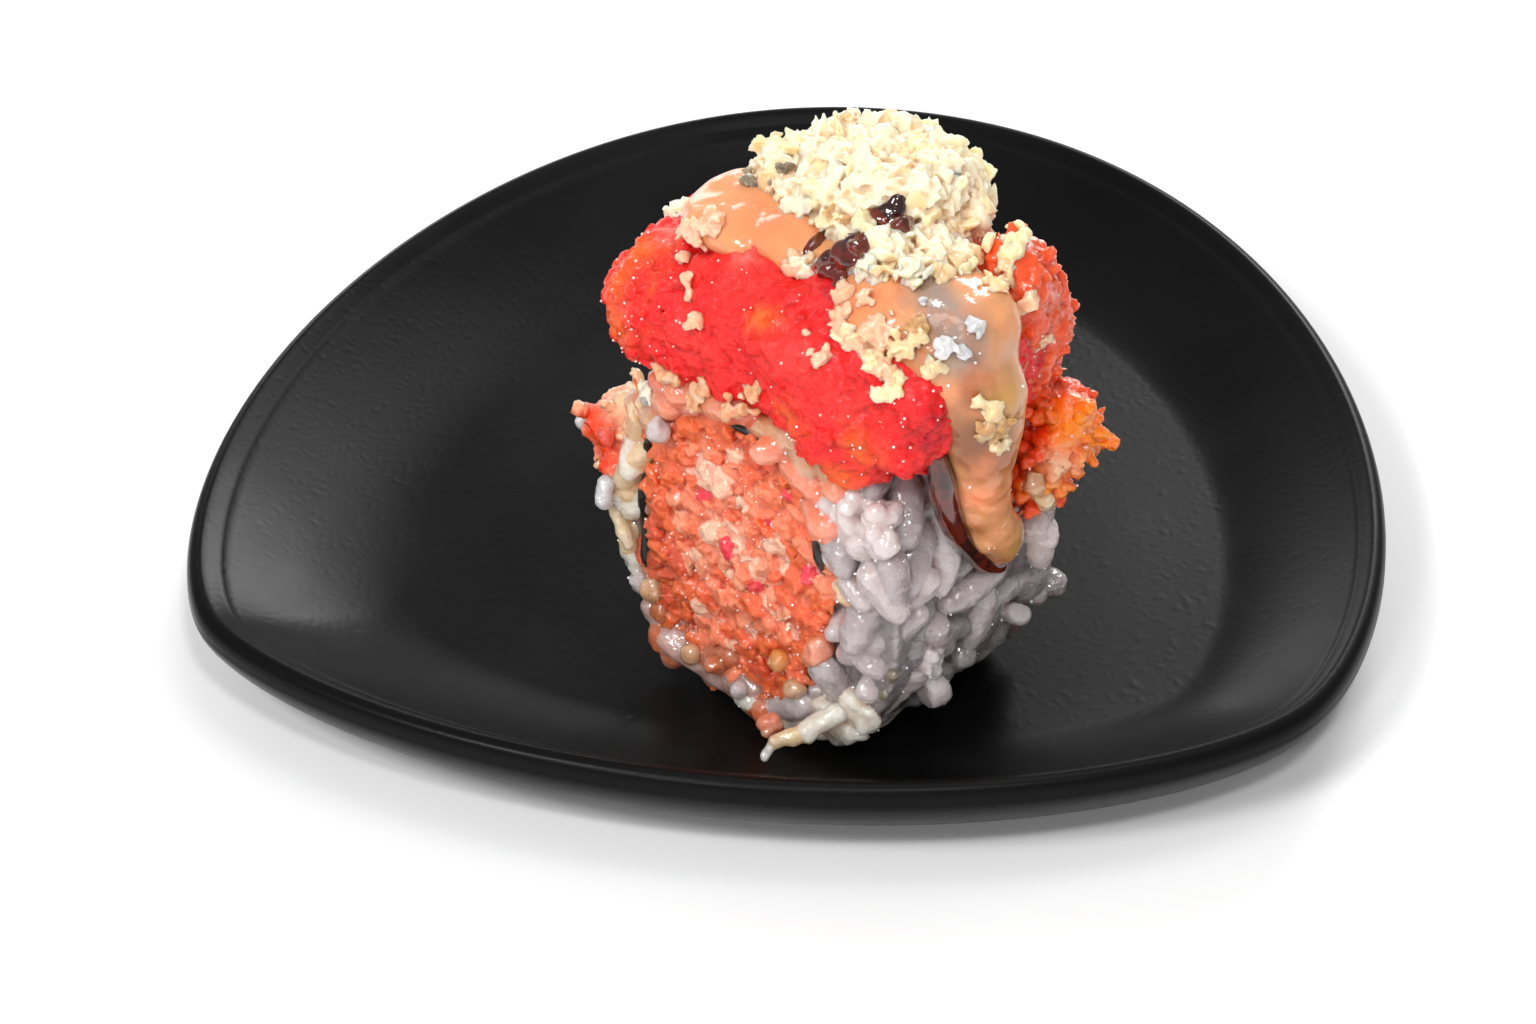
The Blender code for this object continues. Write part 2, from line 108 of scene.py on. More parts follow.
# A section is its middle's x and z, its half width and height, and its squareness
RICE_SECTION = (-5.5 * MM, 19.9 * MM, 18.9 * MM, 19.5 * MM, 2.45)
FILLING_SECTION = (-8.6 * MM, 20.0 * MM, 12.0 * MM, 16.6 * MM, 2.25)
SECTION_POINTS = 96
NORI_INNER = 0.35 * MM
NORI_OUTER = 0.75 * MM
TUNNEL_ROOM = 1.1 * MM


# Random fields, for relief and for colour


def hashed(cells, seed):
    """A repeatable random number from 0 to 1 for each whole-numbered cell."""
    mixed = cells[:, 0] * 73856093 ^ cells[:, 1] * 19349663 ^ cells[:, 2] * 83492791
    mixed = (mixed ^ (seed * 974711)) & 0x7FFFFFFF
    mixed = (mixed ^ (mixed >> 13)) * 1274126177 & 0x7FFFFFFF
    mixed = (mixed ^ (mixed >> 11)) * 668265263 & 0x7FFFFFFF
    return ((mixed ^ (mixed >> 15)) & 0xFFFFF) / 0xFFFFF


def hashed_ways(cells, seed):
    """Three such numbers for each cell."""
    return np.stack([hashed(cells, seed + axis) for axis in range(3)], axis=1)


def smooth_field(points, size, seed):
    """Smooth random values from -1 to 1 that change over a given size."""
    grid = points / size
    cell = np.floor(grid).astype(np.int64)
    share = grid - cell
    share = share * share * (3.0 - 2.0 * share)
    total = np.zeros(len(points))
    for corner in itertools.product((0, 1), repeat=3):
        weight = np.prod(np.where(corner, share, 1.0 - share), axis=1)
        total += weight * hashed(cell + corner, seed)
    return total * 2.0 - 1.0


def layered_field(points, size, seed, layers=3):
    """Several smooth fields, each half the size and half the strength of the last."""
    total = np.zeros(len(points))
    for layer in range(layers):
        total += smooth_field(points, size / 2**layer, seed + layer) / 2**layer
    return total


def near_cells(points, size, seed):
    """The cells round each point, and the way to it from a random middle in each of them."""
    grid = points / size
    cell = np.floor(grid).astype(np.int64)
    for offset in itertools.product((-1, 0, 1), repeat=3):
        other = cell + offset
        yield other, grid - (other + hashed_ways(other, seed))


def lump_field(points, size, seed):
    """Round lumps with sharp creases between them, from 0 in a crease to 1 on top."""
    nearest = np.full(len(points), np.inf)
    for _, way in near_cells(points, size, seed):
        nearest = np.minimum(nearest, (way**2).sum(axis=1))
    return np.clip(1.0 - nearest, 0.0, 1.0)


def shard_field(points, size, seed):
    """Flat facets at random slants, one to each cell, from about -1 to 1."""
    nearest = np.full(len(points), np.inf)
    height = np.zeros(len(points))
    for cell, way in near_cells(points, size, seed):
        slant = hashed_ways(cell, seed + 3) - 0.5
        facet = (way * slant).sum(axis=1) * 2.0 + hashed(cell, seed + 6) - 0.5
        gap = (way**2).sum(axis=1)
        height = np.where(gap < nearest, facet, height)
        nearest = np.minimum(nearest, gap)
    return height


def blend_step(values, low, high):
    """A smooth step from 0 at the low value to 1 at the high one."""
    share = np.clip((values - low) / (high - low), 0.0, 1.0)
    return share * share * (3.0 - 2.0 * share)


# Meshes

CREASE_ANGLE = math.radians(35)
CREASE_ROUNDS = 24


def add_object(name, data):
    obj = bpy.data.objects.new(name, data)
    bpy.context.scene.collection.objects.link(obj)
    return obj


def object_from(bm, name):
    """Turn a bmesh into an object and free it."""
    mesh = bpy.data.meshes.new(name)
    bm.to_mesh(mesh)
    bm.free()
    return add_object(name, mesh)


def shape_from(bm):
    """The points and faces of a bmesh, which is freed."""
    points = np.array([vertex.co[:] for vertex in bm.verts])
    faces = np.array([[vertex.index for vertex in face.verts] for face in bm.faces])
    bm.free()
    return points, faces


def apply_modifiers(obj):
    graph = bpy.context.evaluated_depsgraph_get()
    mesh = bpy.data.meshes.new_from_object(obj.evaluated_get(graph))
    obj.modifiers.clear()
    obj.data = mesh


def reskin(obj, voxel, smoothing):
    """Melt all that an object holds into one even skin, then soften it a little."""
    skin = obj.modifiers.new("skin", "REMESH")
    skin.mode = "VOXEL"
    skin.voxel_size = voxel
    skin.use_smooth_shade = True
    if smoothing:
        soften = obj.modifiers.new("soften", "SMOOTH")
        soften.factor = 0.5
        soften.iterations = smoothing
    apply_modifiers(obj)


def read_rows(items, name, width, kind=np.float32):
    """One property of all items of a mesh, as rows of numbers."""
    rows = np.empty(len(items) * width, kind)
    items.foreach_get(name, rows)
    return rows.reshape(-1, width)


def write_rows(items, name, rows):
    items.foreach_set(name, rows.astype(np.float32).ravel())


def points_of(obj):
    return read_rows(obj.data.vertices, "co", 3, float)


def normals_of(obj):
    return read_rows(obj.data.vertex_normals, "vector", 3).astype(float)


def set_points(obj, points):
    write_rows(obj.data.vertices, "co", points)
    obj.data.update()


def add_relief(obj, *layers, lift=0.0):
    """Push a skin out by random fields, given with height and size in millimetres and seed."""
    points = points_of(obj)
    heights = lift
    for field, height, size, *seed in layers:
        heights = heights + field(points, size * MM, *seed) * height
    set_points(obj, points + normals_of(obj) * (heights * MM)[:, None])


def dab_colours(obj, ground, dabs, grain):
    """Colour a skin, with soft ragged dabs at the places that photograph pixels show."""
    points = points_of(obj)
    ragged = 1.0 + 0.45 * layered_field(points, grain, 61)
    hues = np.tile((*ground, 1.0), (len(points), 1))
    for spot, _, reach, colour in seen_rows(dabs, tree_of(obj)):
        distance = np.linalg.norm(points - np.array(spot), axis=1) / (reach * MM)
        share = np.exp(-((distance * ragged) ** 2))[:, None]
        hues = hues * (1.0 - share) + np.array((*colour, 1.0)) * share
    store_hues(obj, hues)


def tree_of(*objects):
    """A search tree over the faces of several objects."""
    bm = bmesh.new()
    for obj in objects:
        bm.from_mesh(obj.data)
    tree = BVHTree.FromBMesh(bm)
    bm.free()
    return tree


class Pile:
    """Many small closed shapes that become one mesh, each with a colour of its own."""

    def __init__(self):
        self.points = []
        self.faces = []
        self.hues = []
        self.count = 0

    def add(self, shape, matrix, hue):
        points, faces = shape
        matrix = np.array(matrix)
        self.points.append(points @ matrix[:3, :3].T + matrix[:3, 3])
        self.faces.append(faces + self.count)
        self.hues.append(np.tile((*hue, 1.0), (len(points), 1)))
        self.count += len(points)

    def add_core(self, obj, hue):
        """Add the plain object that the small shapes lie on, and remove the object itself."""
        obj.data.calc_loop_triangles()
        faces = np.array([triangle.vertices[:] for triangle in obj.data.loop_triangles])
        self.add((points_of(obj), faces), Matrix.Identity(4), hue)
        bpy.data.objects.remove(obj)

    def build(self, name):
        """Make the object, in which sharp edges stay crisp."""
        mesh = bpy.data.meshes.new(name)
        faces = np.concatenate(self.faces).tolist()
        mesh.from_pydata(np.concatenate(self.points).tolist(), [], faces)
        mesh.shade_smooth()
        mesh.set_sharp_from_angle(angle=CREASE_ANGLE)
        obj = add_object(name, mesh)
        store_hues(obj, np.concatenate(self.hues))
        return obj


def fused(pile, name, voxel, smoothing, most):
    """Melt a pile into one skin that keeps the colours, with at most so many triangles."""
    loose = pile.build(name)
    tree = tree_of(loose)
    hues = np.concatenate(pile.hues)
    corners = np.concatenate(pile.faces)
    reskin(loose, voxel, smoothing)
    triangles = 2 * len(loose.data.polygons)
    if triangles > most:
        thin = loose.modifiers.new("thin", "DECIMATE")
        thin.ratio = most / triangles
        apply_modifiers(loose)
        loose.data.shade_smooth()
    picked = [corners[tree.find_nearest(point)[2]][0] for point in points_of(loose)]
    store_hues(loose, hues[picked])
    return loose


def crease_depth(obj, rounds):
    """How far each point lies below the skin's own average, in metres."""
    points = points_of(obj)
    ends = read_rows(obj.data.edges, "vertices", 2, np.int64)
    count = np.bincount(ends.ravel(), minlength=len(points))
    level = points
    for _ in range(rounds):
        level = np.stack([
            np.bincount(ends[:, 0], level[ends[:, 1], axis], len(points))
            + np.bincount(ends[:, 1], level[ends[:, 0], axis], len(points))
            for axis in range(3)
        ], axis=1) / np.maximum(count, 1)[:, None]
    return ((level - points) * normals_of(obj)).sum(axis=1)


def paint_crease_shade(obj, depth, share, rounds=CREASE_ROUNDS):
    """Paint shade into the creases of a skin: darken and redden a little what lies in them."""
    hue = obj.data.attributes["hue"]
    hues = read_rows(hue.data, "color", 4)
    crease = blend_step(crease_depth(obj, rounds), -depth * 0.3, depth)[:, None]
    hues[:, :3] *= 1.0 - crease * share * np.array((0.8, 1.0, 1.0))
    write_rows(hue.data, "color", hues)


def store_hues(obj, hues):
    write_rows(obj.data.attributes.new("hue", "FLOAT_COLOR", "POINT").data, "color", hues)


def ball_shape(detail):
    """The points and triangles of a ball one unit in radius."""
    bm = bmesh.new()
    bmesh.ops.create_icosphere(bm, subdivisions=detail, radius=1.0)
    return shape_from(bm)


def random_way(rng):
    return Vector([rng.gauss(0.0, 1.0) for _ in range(3)]).normalized()


def scatter(rng, spread):
    """A random shift, with its spread in millimetres."""
    return Vector([rng.gauss(0.0, spread) for _ in range(3)]) * MM


def chunk_shape(rng, detail, cuts, depth):
    """A ball with random flat slices taken off, down to a depth between the two given."""
    points, faces = ball_shape(detail)
    for _ in range(cuts):
        way = np.array(random_way(rng))
        over = points @ way - rng.uniform(*depth)
        points = points - np.clip(over, 0.0, None)[:, None] * way
    return points, faces


def chip_shape(rng):
    """A thin crisp chip with a torn outline, a little curled."""
    points, faces = ball_shape(2)
    turns = np.arctan2(points[:, 1], points[:, 0])
    tear = 0.75 + 0.3 * np.sin(turns * 3 + rng.uniform(0, 6)) * np.sin(turns * 5 + rng.uniform(0, 6))
    tear += np.array([rng.uniform(-0.26, 0.26) for _ in points])
    points = points * np.stack((tear, tear, np.full(len(points), 0.32)), axis=1)
    curl = rng.uniform(-0.6, 0.6)
    points[:, 2] += curl * (points[:, 0] ** 2 - 0.4) + rng.uniform(-0.4, 0.4) * points[:, 1] ** 2
    return points, faces


def grain_shape(rng):
    """One plump grain of rice along z, a little bent, dented and tapered."""
    points, faces = ball_shape(3)
    along = points[:, 2]
    across = np.linalg.norm(points[:, :2], axis=1)
    plump = np.clip(1.0 - np.abs(along) ** 2.9, 0.0, None) ** (1 / 2.9)
    spread = plump / np.maximum(across, 1e-6) * (1.0 + rng.uniform(-0.16, 0.16) * along)
    dents = 1.0 + 0.1 * smooth_field(points + rng.uniform(0.0, 9.0), 0.8, 5)
    shaped = np.stack((points[:, 0] * spread, points[:, 1] * spread, along), axis=1)
    shaped *= dents[:, None]
    shaped[:, 0] += rng.uniform(-0.3, 0.3) * along**2
    return shaped, faces


def placed(place, turn, *half_sizes):
    """Where a shape goes, by its turn and its half sizes."""
    return Matrix.Translation(place) @ turn.to_matrix().to_4x4() @ Matrix.Diagonal((*half_sizes, 1.0))


def lie_along(place, way, width, length):
    """Where a shape goes whose own long axis is z."""
    return placed(place, way.to_track_quat("Z", "Y"), width / 2, width * 0.45, length / 2)


def lie_flat(place, normal, width, height):
    """Where a shape goes that lies on a surface, flattened on to it."""
    return placed(place, normal.to_track_quat("Z", "Y"), width / 2, width / 2, height / 2)


def tumbled(place, size, rng, flatness):
    """A random turn and stretch, flatter along one axis."""
    turn = Euler([rng.uniform(0.0, math.tau) for _ in range(3)])
    sides = (size * rng.uniform(0.8, 1.35) / 2, size * rng.uniform(0.75, 1.1) / 2)
    return placed(place, turn, *sides, size * flatness / 2)


def is_apart(place, others, spacing):
    return all((place - other).length_squared > spacing * spacing for other in others)


def add_shape(bm, shape, matrix):
    """Add a copy of one small shape to a bmesh."""
    points, faces = shape
    copied = [bm.verts.new(matrix @ Vector(point)) for point in points]
    for face in faces:
        bm.faces.new([copied[index] for index in face])


def add_blob(bm, place, half_sizes, squareness=2.5, bump=0.0, grain=3.0, detail=4):
    """Add a rounded lump with a wavy skin, by sizes in millimetres."""
    ways, faces = ball_shape(detail)
    reach = (np.abs(ways) ** squareness).sum(axis=1) ** (-1 / squareness)
    spots = ways * reach[:, None] * np.array(half_sizes)
    swell = bump * smooth_field(spots + np.array(place), grain, 3)
    spots = (spots + ways * swell[:, None] + np.array(place)) * MM
    add_shape(bm, (spots, faces), Matrix.Identity(4))


def section_point(section, turn, grow):
    """A point on a rounded section, at a turn from its right-hand side."""
    middle_x, middle_z, half_width, half_height, squareness = section
    across = math.cos(turn)
    up = math.sin(turn)
    x = math.copysign(abs(across) ** (2 / squareness), across)
    z = math.copysign(abs(up) ** (2 / squareness), up)
    return middle_x + (half_width + grow) * x, middle_z + (half_height + grow) * z


def section_fill(section, x, z, grow=0.0):
    """Below 1 inside a section, above 1 outside it."""
    middle_x, middle_z, half_width, half_height, squareness = section
    across = abs(x - middle_x) / (half_width + grow)
    up = abs(z - middle_z) / (half_height + grow)
    return across**squareness + up**squareness


def add_tube(bm, outer, inner, front, back, rows=2, ragged=0.0):
    """Add a closed ring, or a solid bar where there is no inner section, along the slice."""
    turns = [math.tau * step / SECTION_POINTS for step in range(SECTION_POINTS)]
    walls = []
    for section, grow in (outer, inner) if inner else (outer,):
        wall = []
        for row in range(rows):
            y = front + (back - front) * row / (rows - 1)
            ring = []
            for turn in turns:
                x, z = section_point(section, turn, grow)
                sway = ragged * math.sin(5 * turn + 3 * row) * math.sin(11 * turn + 1)
                edge = sway if row in (0, rows - 1) else 0.0
                ring.append(bm.verts.new((x, y + edge, z)))
            wall.append(ring)
        walls.append(wall)
    for wall, flip in zip(walls, (False, True)):
        for near, far in zip(wall, wall[1:]):
            join_rings(bm, near, far, flip)
    if inner:
        join_rings(bm, walls[0][0], walls[1][0], True)
        join_rings(bm, walls[0][-1], walls[1][-1], False)
    else:
        bm.faces.new(walls[0][0])
        bm.faces.new(reversed(walls[0][-1]))


def join_rings(bm, near, far, flip):
    for step in range(len(near)):
        quad = [near[step - 1], near[step], far[step], far[step - 1]]
        bm.faces.new(reversed(quad) if flip else quad)


def smooth_route(route, cuts):
    """Points on a smooth curve through the points of a route."""
    route = [np.array(point) for point in route]
    smooth = []
    for index in range(len(route) - 1):
        before, start, end, after = (
            route[min(max(index + step, 0), len(route) - 1)] for step in (-1, 0, 1, 2)
        )
        for cut in range(cuts):
            t = cut / cuts
            bend = 2 * before - 5 * start + 4 * end - after
            twist = 3 * start - before - 3 * end + after
            smooth.append(start + 0.5 * ((end - before) * t + bend * t**2 + twist * t**3))
    return smooth + [route[-1]]


# Camera, and the places that it sees


def camera_back():
    """The direction from the object back to the camera."""
    return Vector((0.0, -math.cos(CAMERA_RISE), math.sin(CAMERA_RISE)))


def view_ray(x, y):
    """The camera's place and the direction through a photograph pixel, in the roll's frame."""
    up = Vector((0.0, math.sin(CAMERA_RISE), math.cos(CAMERA_RISE)))
    way = -camera_back() * FOCAL_PIXELS
    way += Vector((1.0, 0.0, 0.0)) * (x - PHOTO_WIDTH / 2) - up * (y - PHOTO_HEIGHT / 2)
    place = CAMERA_AIM + camera_back() * CAMERA_DISTANCE
    to_roll = STAND.inverted()
    return to_roll @ place, (to_roll.to_3x3() @ way).normalized()


def seen_spot(x, y, tree):
    """The point and the normal of the surface that shows at a photograph pixel."""
    place, way = view_ray(x, y)
    point, normal, _, _ = tree.ray_cast(place, way)
    return point, normal


def seen_rows(rows, tree):
    """The rows of a table whose pixel shows a surface, with the point and normal there."""
    for x, y, *rest in rows:
        point, normal = seen_spot(x, y, tree)
        if point is not None:
            yield point, normal, *rest


def make_camera():
    data = bpy.data.cameras.new("photo_view")
    data.lens = SENSOR_WIDTH * FOCAL_PIXELS / PHOTO_WIDTH
    data.sensor_width = SENSOR_WIDTH
    data.clip_start = 10 * MM
    camera = add_object("photo_view", data)
    camera.location = CAMERA_AIM + camera_back() * CAMERA_DISTANCE
    camera.rotation_euler = camera_back().to_track_quat("Z", "Y").to_euler()
    bpy.context.scene.camera = camera


# Materials


def new_material(name, colour, roughness, **sockets):
    """A Principled material with plain values, and the tools to add nodes to it."""
    material = bpy.data.materials.new(name)
    material.use_nodes = True
    shader = material.node_tree.nodes["Principled BSDF"]
    shader.inputs["Base Color"].default_value = (*colour, 1.0)
    shader.inputs["Roughness"].default_value = roughness
    for socket, value in sockets.items():
        shader.inputs[socket.replace("_", " ")].default_value = value
    return material


def add_node(material, kind, settings=(), links=(), **inputs):
    """Add a node, set its options and its inputs, and link what is given as a socket."""
    node = material.node_tree.nodes.new(kind)
    for option, value in dict(settings).items():
        setattr(node, option, value)
    for socket, value in inputs.items():
        node.inputs[socket.replace("_", " ")].default_value = value
    for socket, source in dict(links).items():
        material.node_tree.links.new(source, node.inputs[socket])
    return node


def noise_socket(material, size, detail=3.0, kind="FBM", roughness=0.55):
    """A noise whose features have a given size in metres."""
    place = add_node(material, "ShaderNodeTexCoord").outputs["Object"]
    settings = {"noise_type": kind}
    values = {"Scale": 1 / size, "Detail": detail, "Roughness": roughness}
    return add_node(material, "ShaderNodeTexNoise", settings, {"Vector": place}, **values).outputs[0]


def step_socket(material, source, low, high, to_low=0.0, to_high=1.0):
    """Map a range of one value on to a range of another."""
    settings = {"interpolation_type": "SMOOTHSTEP"}
    values = {"From_Min": low, "From_Max": high, "To_Min": to_low, "To_Max": to_high}
    node = add_node(material, "ShaderNodeMapRange", settings, {"Value": source}, **values)
    return node.outputs["Result"]


def mix_socket(material, share, first, second):
    """Mix two colours, each a plain colour or a socket."""
    node = add_node(material, "ShaderNodeMix", {"data_type": "RGBA"})
    links = material.node_tree.links
    links.new(share, node.inputs[0])
    for socket, colour in ((node.inputs[6], first), (node.inputs[7], second)):
        if isinstance(colour, tuple):
            socket.default_value = (*colour, 1.0)
        else:
            links.new(colour, socket)
    return node.outputs[2]


def use_socket(material, source, *names):
    """Drive the shader's named inputs from a socket."""
    shader = material.node_tree.nodes["Principled BSDF"]
    for name in names:
        material.node_tree.links.new(source, shader.inputs[name])


def use_bump(material, source, height, strength=1.0):
    """Raise fine relief from a socket, on the skin and on its moist coat."""
    values = {"Distance": height, "Strength": strength}
    node = add_node(material, "ShaderNodeBump", (), {"Height": source}, **values)
    use_socket(material, node.outputs["Normal"], "Normal", "Coat Normal")


# Wet food, all from one table

FLESH = (1.0, 0.6, 0.45)  # how far red, green and blue run under a skin
STARCH = (1.0, 0.9, 0.9)
BATTER = (1.0, 0.85, 0.65)
LOOKS = {  # lengths in millimetres
    # First how deep light runs under the skin, roughness, coat, roughness of the coat, share of
    # light that goes under, how far its colours run, sheen and clearness, then size, share and
    # colour of the clouds, then size, detail, height and strength of the fine relief
    "wet_rice": (
        (5.0, 0.3, 1.0, 0.04, 0.95, STARCH, 0.5, 0.1),
        (2.0, 0.2, (0.66, 0.58, 0.57)),
        (1.1, 2.0, 0.35, 1.0),
    ),
    "flaked_filling": (
        (2.2, 0.35, 0.8, 0.04, 0.75, FLESH, 0.2, 0.0),
        (1.2, 0.3, (0.94, 0.17, 0.085)),
        (0.8, 2.0, 0.3, 0.9),
    ),
    "minced_tuna": (
        (1.2, 0.4, 0.5, 0.04, 0.4, FLESH, 0.1, 0.0),
        (1.4, 0.45, (0.92, 0.03, 0.022)),
        (0.7, 3.0, 0.35, 1.0),
    ),
    "salmon_mince": (
        (1.8, 0.32, 0.7, 0.04, 0.55, FLESH, 0.2, 0.0),
        (1.8, 0.2, (0.92, 0.22, 0.07)),
        (0.8, 3.0, 0.2, 0.9),
    ),
    "mayo_sauce": (
        (2.0, 0.3, 0.8, 0.06, 0.5, FLESH, 0.2, 0.0),
        (3.0, 0.35, (0.84, 0.265, 0.11)),
        (1.4, 2.0, 0.2, 0.6),
    ),
    "crisp_crumb": (
        (1.6, 0.4, 0.5, 0.08, 1.0, BATTER, 0.2, 0.0),
        (1.2, 0.3, (0.98, 0.91, 0.74)),
        (0.5, 2.0, 0.1, 0.6),
    ),
    # painted glint: the beads' near-white colour stands in for the glints of wet food
    "painted_glint_bead": (
        (0.5, 0.1, 1.0, 0.02, 0.5, STARCH, 0.6, 0.0),
        (2.0, 0.2, (1.0, 0.95, 0.93)),
        None,
    ),
}


def food_material(name):
    """A wet, slightly see-through food in the colours that its mesh stores, clouded a little."""
    light, (cloud_size, cloud_share, cloud_colour), relief = LOOKS[name]
    depth, roughness, coat, coat_roughness, weight, radius, sheen, clear = light
    material = new_material(
        name,
        (0.8, 0.8, 0.8),
        roughness,
        Specular_IOR_Level=sheen,
        Transmission_Weight=clear,
        Subsurface_Weight=weight,
        Subsurface_Scale=depth * MM,
        Subsurface_Radius=radius,
        Coat_Weight=coat,
        Coat_Roughness=coat_roughness,
    )
    hue = add_node(material, "ShaderNodeAttribute", {"attribute_name": "hue"}).outputs["Color"]
    noise = noise_socket(material, cloud_size * MM)
    cloud = step_socket(material, noise, 0.42, 0.72, 0.0, cloud_share)
    use_socket(material, mix_socket(material, cloud, hue, cloud_colour), "Base Color")
    if relief:
        size, detail, height, strength = relief
        use_bump(material, noise_socket(material, size * MM, detail), height * MM, strength)
    return material


# Plate


def plate_reach(angle):
    """The plate's edge where its outline faces the given angle."""
    reach = PLATE_RADIUS
    slope = 0.0
    for lobes, depth, first in PLATE_LOBES:
        reach += depth * math.cos(lobes * (angle - first))
        slope -= depth * lobes * math.sin(lobes * (angle - first))
    x = reach * math.cos(angle) - slope * math.sin(angle)
    y = reach * math.sin(angle) + slope * math.cos(angle)
    return x, y


def plate_section(angle):
    """Inset and height at one angle, from the edge of the flat floor out and under."""
    slope = SLOPE_WIDTH + SLOPE_MORE_X * math.cos(angle) + SLOPE_MORE_Y * math.sin(angle)
    section = [(slope * 1.5, PLATE_FLOOR)]
    for ring in range(SLOPE_RINGS):
        share = ring / (SLOPE_RINGS - 1)
        rise = (RIM_TOP - PLATE_FLOOR) * share**SLOPE_CURVE
        section.append((slope + (LIP_INSET - slope) * share, PLATE_FLOOR + rise))
    rim = smooth_route([section[-3], section[-1], *RIM_PROFILE], PROFILE_CUTS)
    return section[:-2] + [tuple(point) for point in rim]


def make_plate():
    """The section at each angle round the pebble's outline, skinned over and closed."""
    turns = [math.tau * step / PLATE_STEPS for step in range(PLATE_STEPS)]
    edge = np.array([plate_reach(turn) for turn in turns])
    edge -= (edge.max(axis=0) + edge.min(axis=0)) / 2
    bm = bmesh.new()
    columns = []
    for turn, (edge_x, edge_y) in zip(turns, edge):
        column = []
        for inset, height in plate_section(turn):
            share = 1.0 - inset * MM / PLATE_RADIUS
            column.append(bm.verts.new((edge_x * share, edge_y * share, max(height, 0.0) * MM)))
        columns.append(column)
    above = bm.verts.new((0.0, 0.0, PLATE_FLOOR * MM))
    below = bm.verts.new((0.0, 0.0, RIM_PROFILE[-1][1] * MM))
    for near, far in zip(columns, columns[1:] + columns[:1]):
        bm.faces.new((above, near[0], far[0]))
        for ring in range(len(near) - 1):
            bm.faces.new((near[ring], near[ring + 1], far[ring + 1], far[ring]))
        bm.faces.new((below, far[-1], near[-1]))
    plate = object_from(bm, "plate_skin")
    plate.data.shade_smooth()
    return plate


def plate_material():
    material = new_material("black_glaze", (0.004, 0.004, 0.004), 0.34, Specular_IOR_Level=0.09)
    worms = noise_socket(material, 1.15 * MM, 1.0, "RIDGED_MULTIFRACTAL", 0.4)
    use_bump(material, worms, 0.05 * MM, 0.45)
    patches = noise_socket(material, 22 * MM, 3.0)
    rough = step_socket(material, patches, 0.3, 0.7, 0.28, 0.37)
    use_socket(material, rough, "Roughness")
    return material


# Finishing a piece


def finish_piece(obj, material, slot, *nodes):
    """Dress a piece, set it under the root, and hide the solids it stands for."""
    obj.data.materials.clear()
    obj.data.materials.append(material)
    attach(obj, "root")
    if nodes:
        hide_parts(*nodes)


# Colours of the food, as Blender's linear values

# deep lilac: a darker grain tone, and also painted shade in the rice's crevices and on its right side
LILAC_DEEP_AND_SHADE = (0.24, 0.205, 0.21)
LILAC = (0.42, 0.355, 0.36)
LILAC_PALE = (0.57, 0.49, 0.48)
RICE_WHITE = (0.72, 0.60, 0.575)
RICE_FOOT = (0.95, 0.77, 0.62)
RICE_CREAM = (0.94, 0.56, 0.31)
RICE_ROSY = (0.56, 0.33, 0.28)
RICE_TAN = (0.68, 0.33, 0.17)
RICE_ORANGE = (0.64, 0.155, 0.06)
PEACH = (0.94, 0.24, 0.125)
CORAL = (0.88, 0.15, 0.06)
BLUSH = (0.94, 0.34, 0.20)
SHELL = (0.95, 0.52, 0.37)
BRICK = (0.62, 0.085, 0.032)
AMBER = (0.80, 0.24, 0.045)
RUSSET = (0.74, 0.13, 0.035)
HOT_PINK = (0.80, 0.045, 0.08)
CRIMSON = (0.50, 0.004, 0.012)
TUNA_RED = (0.82, 0.014, 0.016)
TUNA_ORANGE = (0.88, 0.13, 0.02)
# painted sheen: paler pinks dabbed where the tuna's wet skin shines
TUNA_PINK_SHEEN = (0.88, 0.15, 0.12)
TUNA_ROSE_SHEEN = (0.86, 0.036, 0.03)
MINCE_ORANGE = (0.84, 0.035, 0.002)
MINCE_CORAL = (0.86, 0.09, 0.02)
MINCE_YELLOW = (0.97, 0.27, 0.008)
CREAM = (0.86, 0.58, 0.36)
SAUCE_PEACH = (0.84, 0.265, 0.11)
SAUCE_TAN = (0.74, 0.34, 0.15)
SAUCE_GREY = (0.36, 0.27, 0.22)
SAUCE_YOLK = (0.60, 0.33, 0.10)
SAUCE_BROWN = (0.22, 0.07, 0.02)
SAUCE_RUST = (0.38, 0.12, 0.035)
CRUMB_PALE = (0.96, 0.80, 0.56)
CRUMB_YELLOW = (0.95, 0.72, 0.41)
CRUMB_TAN = (0.84, 0.56, 0.31)
CRUMB_TOAST = (0.50, 0.27, 0.10)
CRUMB_ROSY = (0.88, 0.46, 0.29)
SESAME_GREY = (0.16, 0.13, 0.09)
GLASSY = (0.60, 0.60, 0.62)
BEAD_PINK_GLINT = (0.98, 0.66, 0.58)
BEAD_WHITE_GLINT = (0.92, 0.90, 0.90)


# Rice

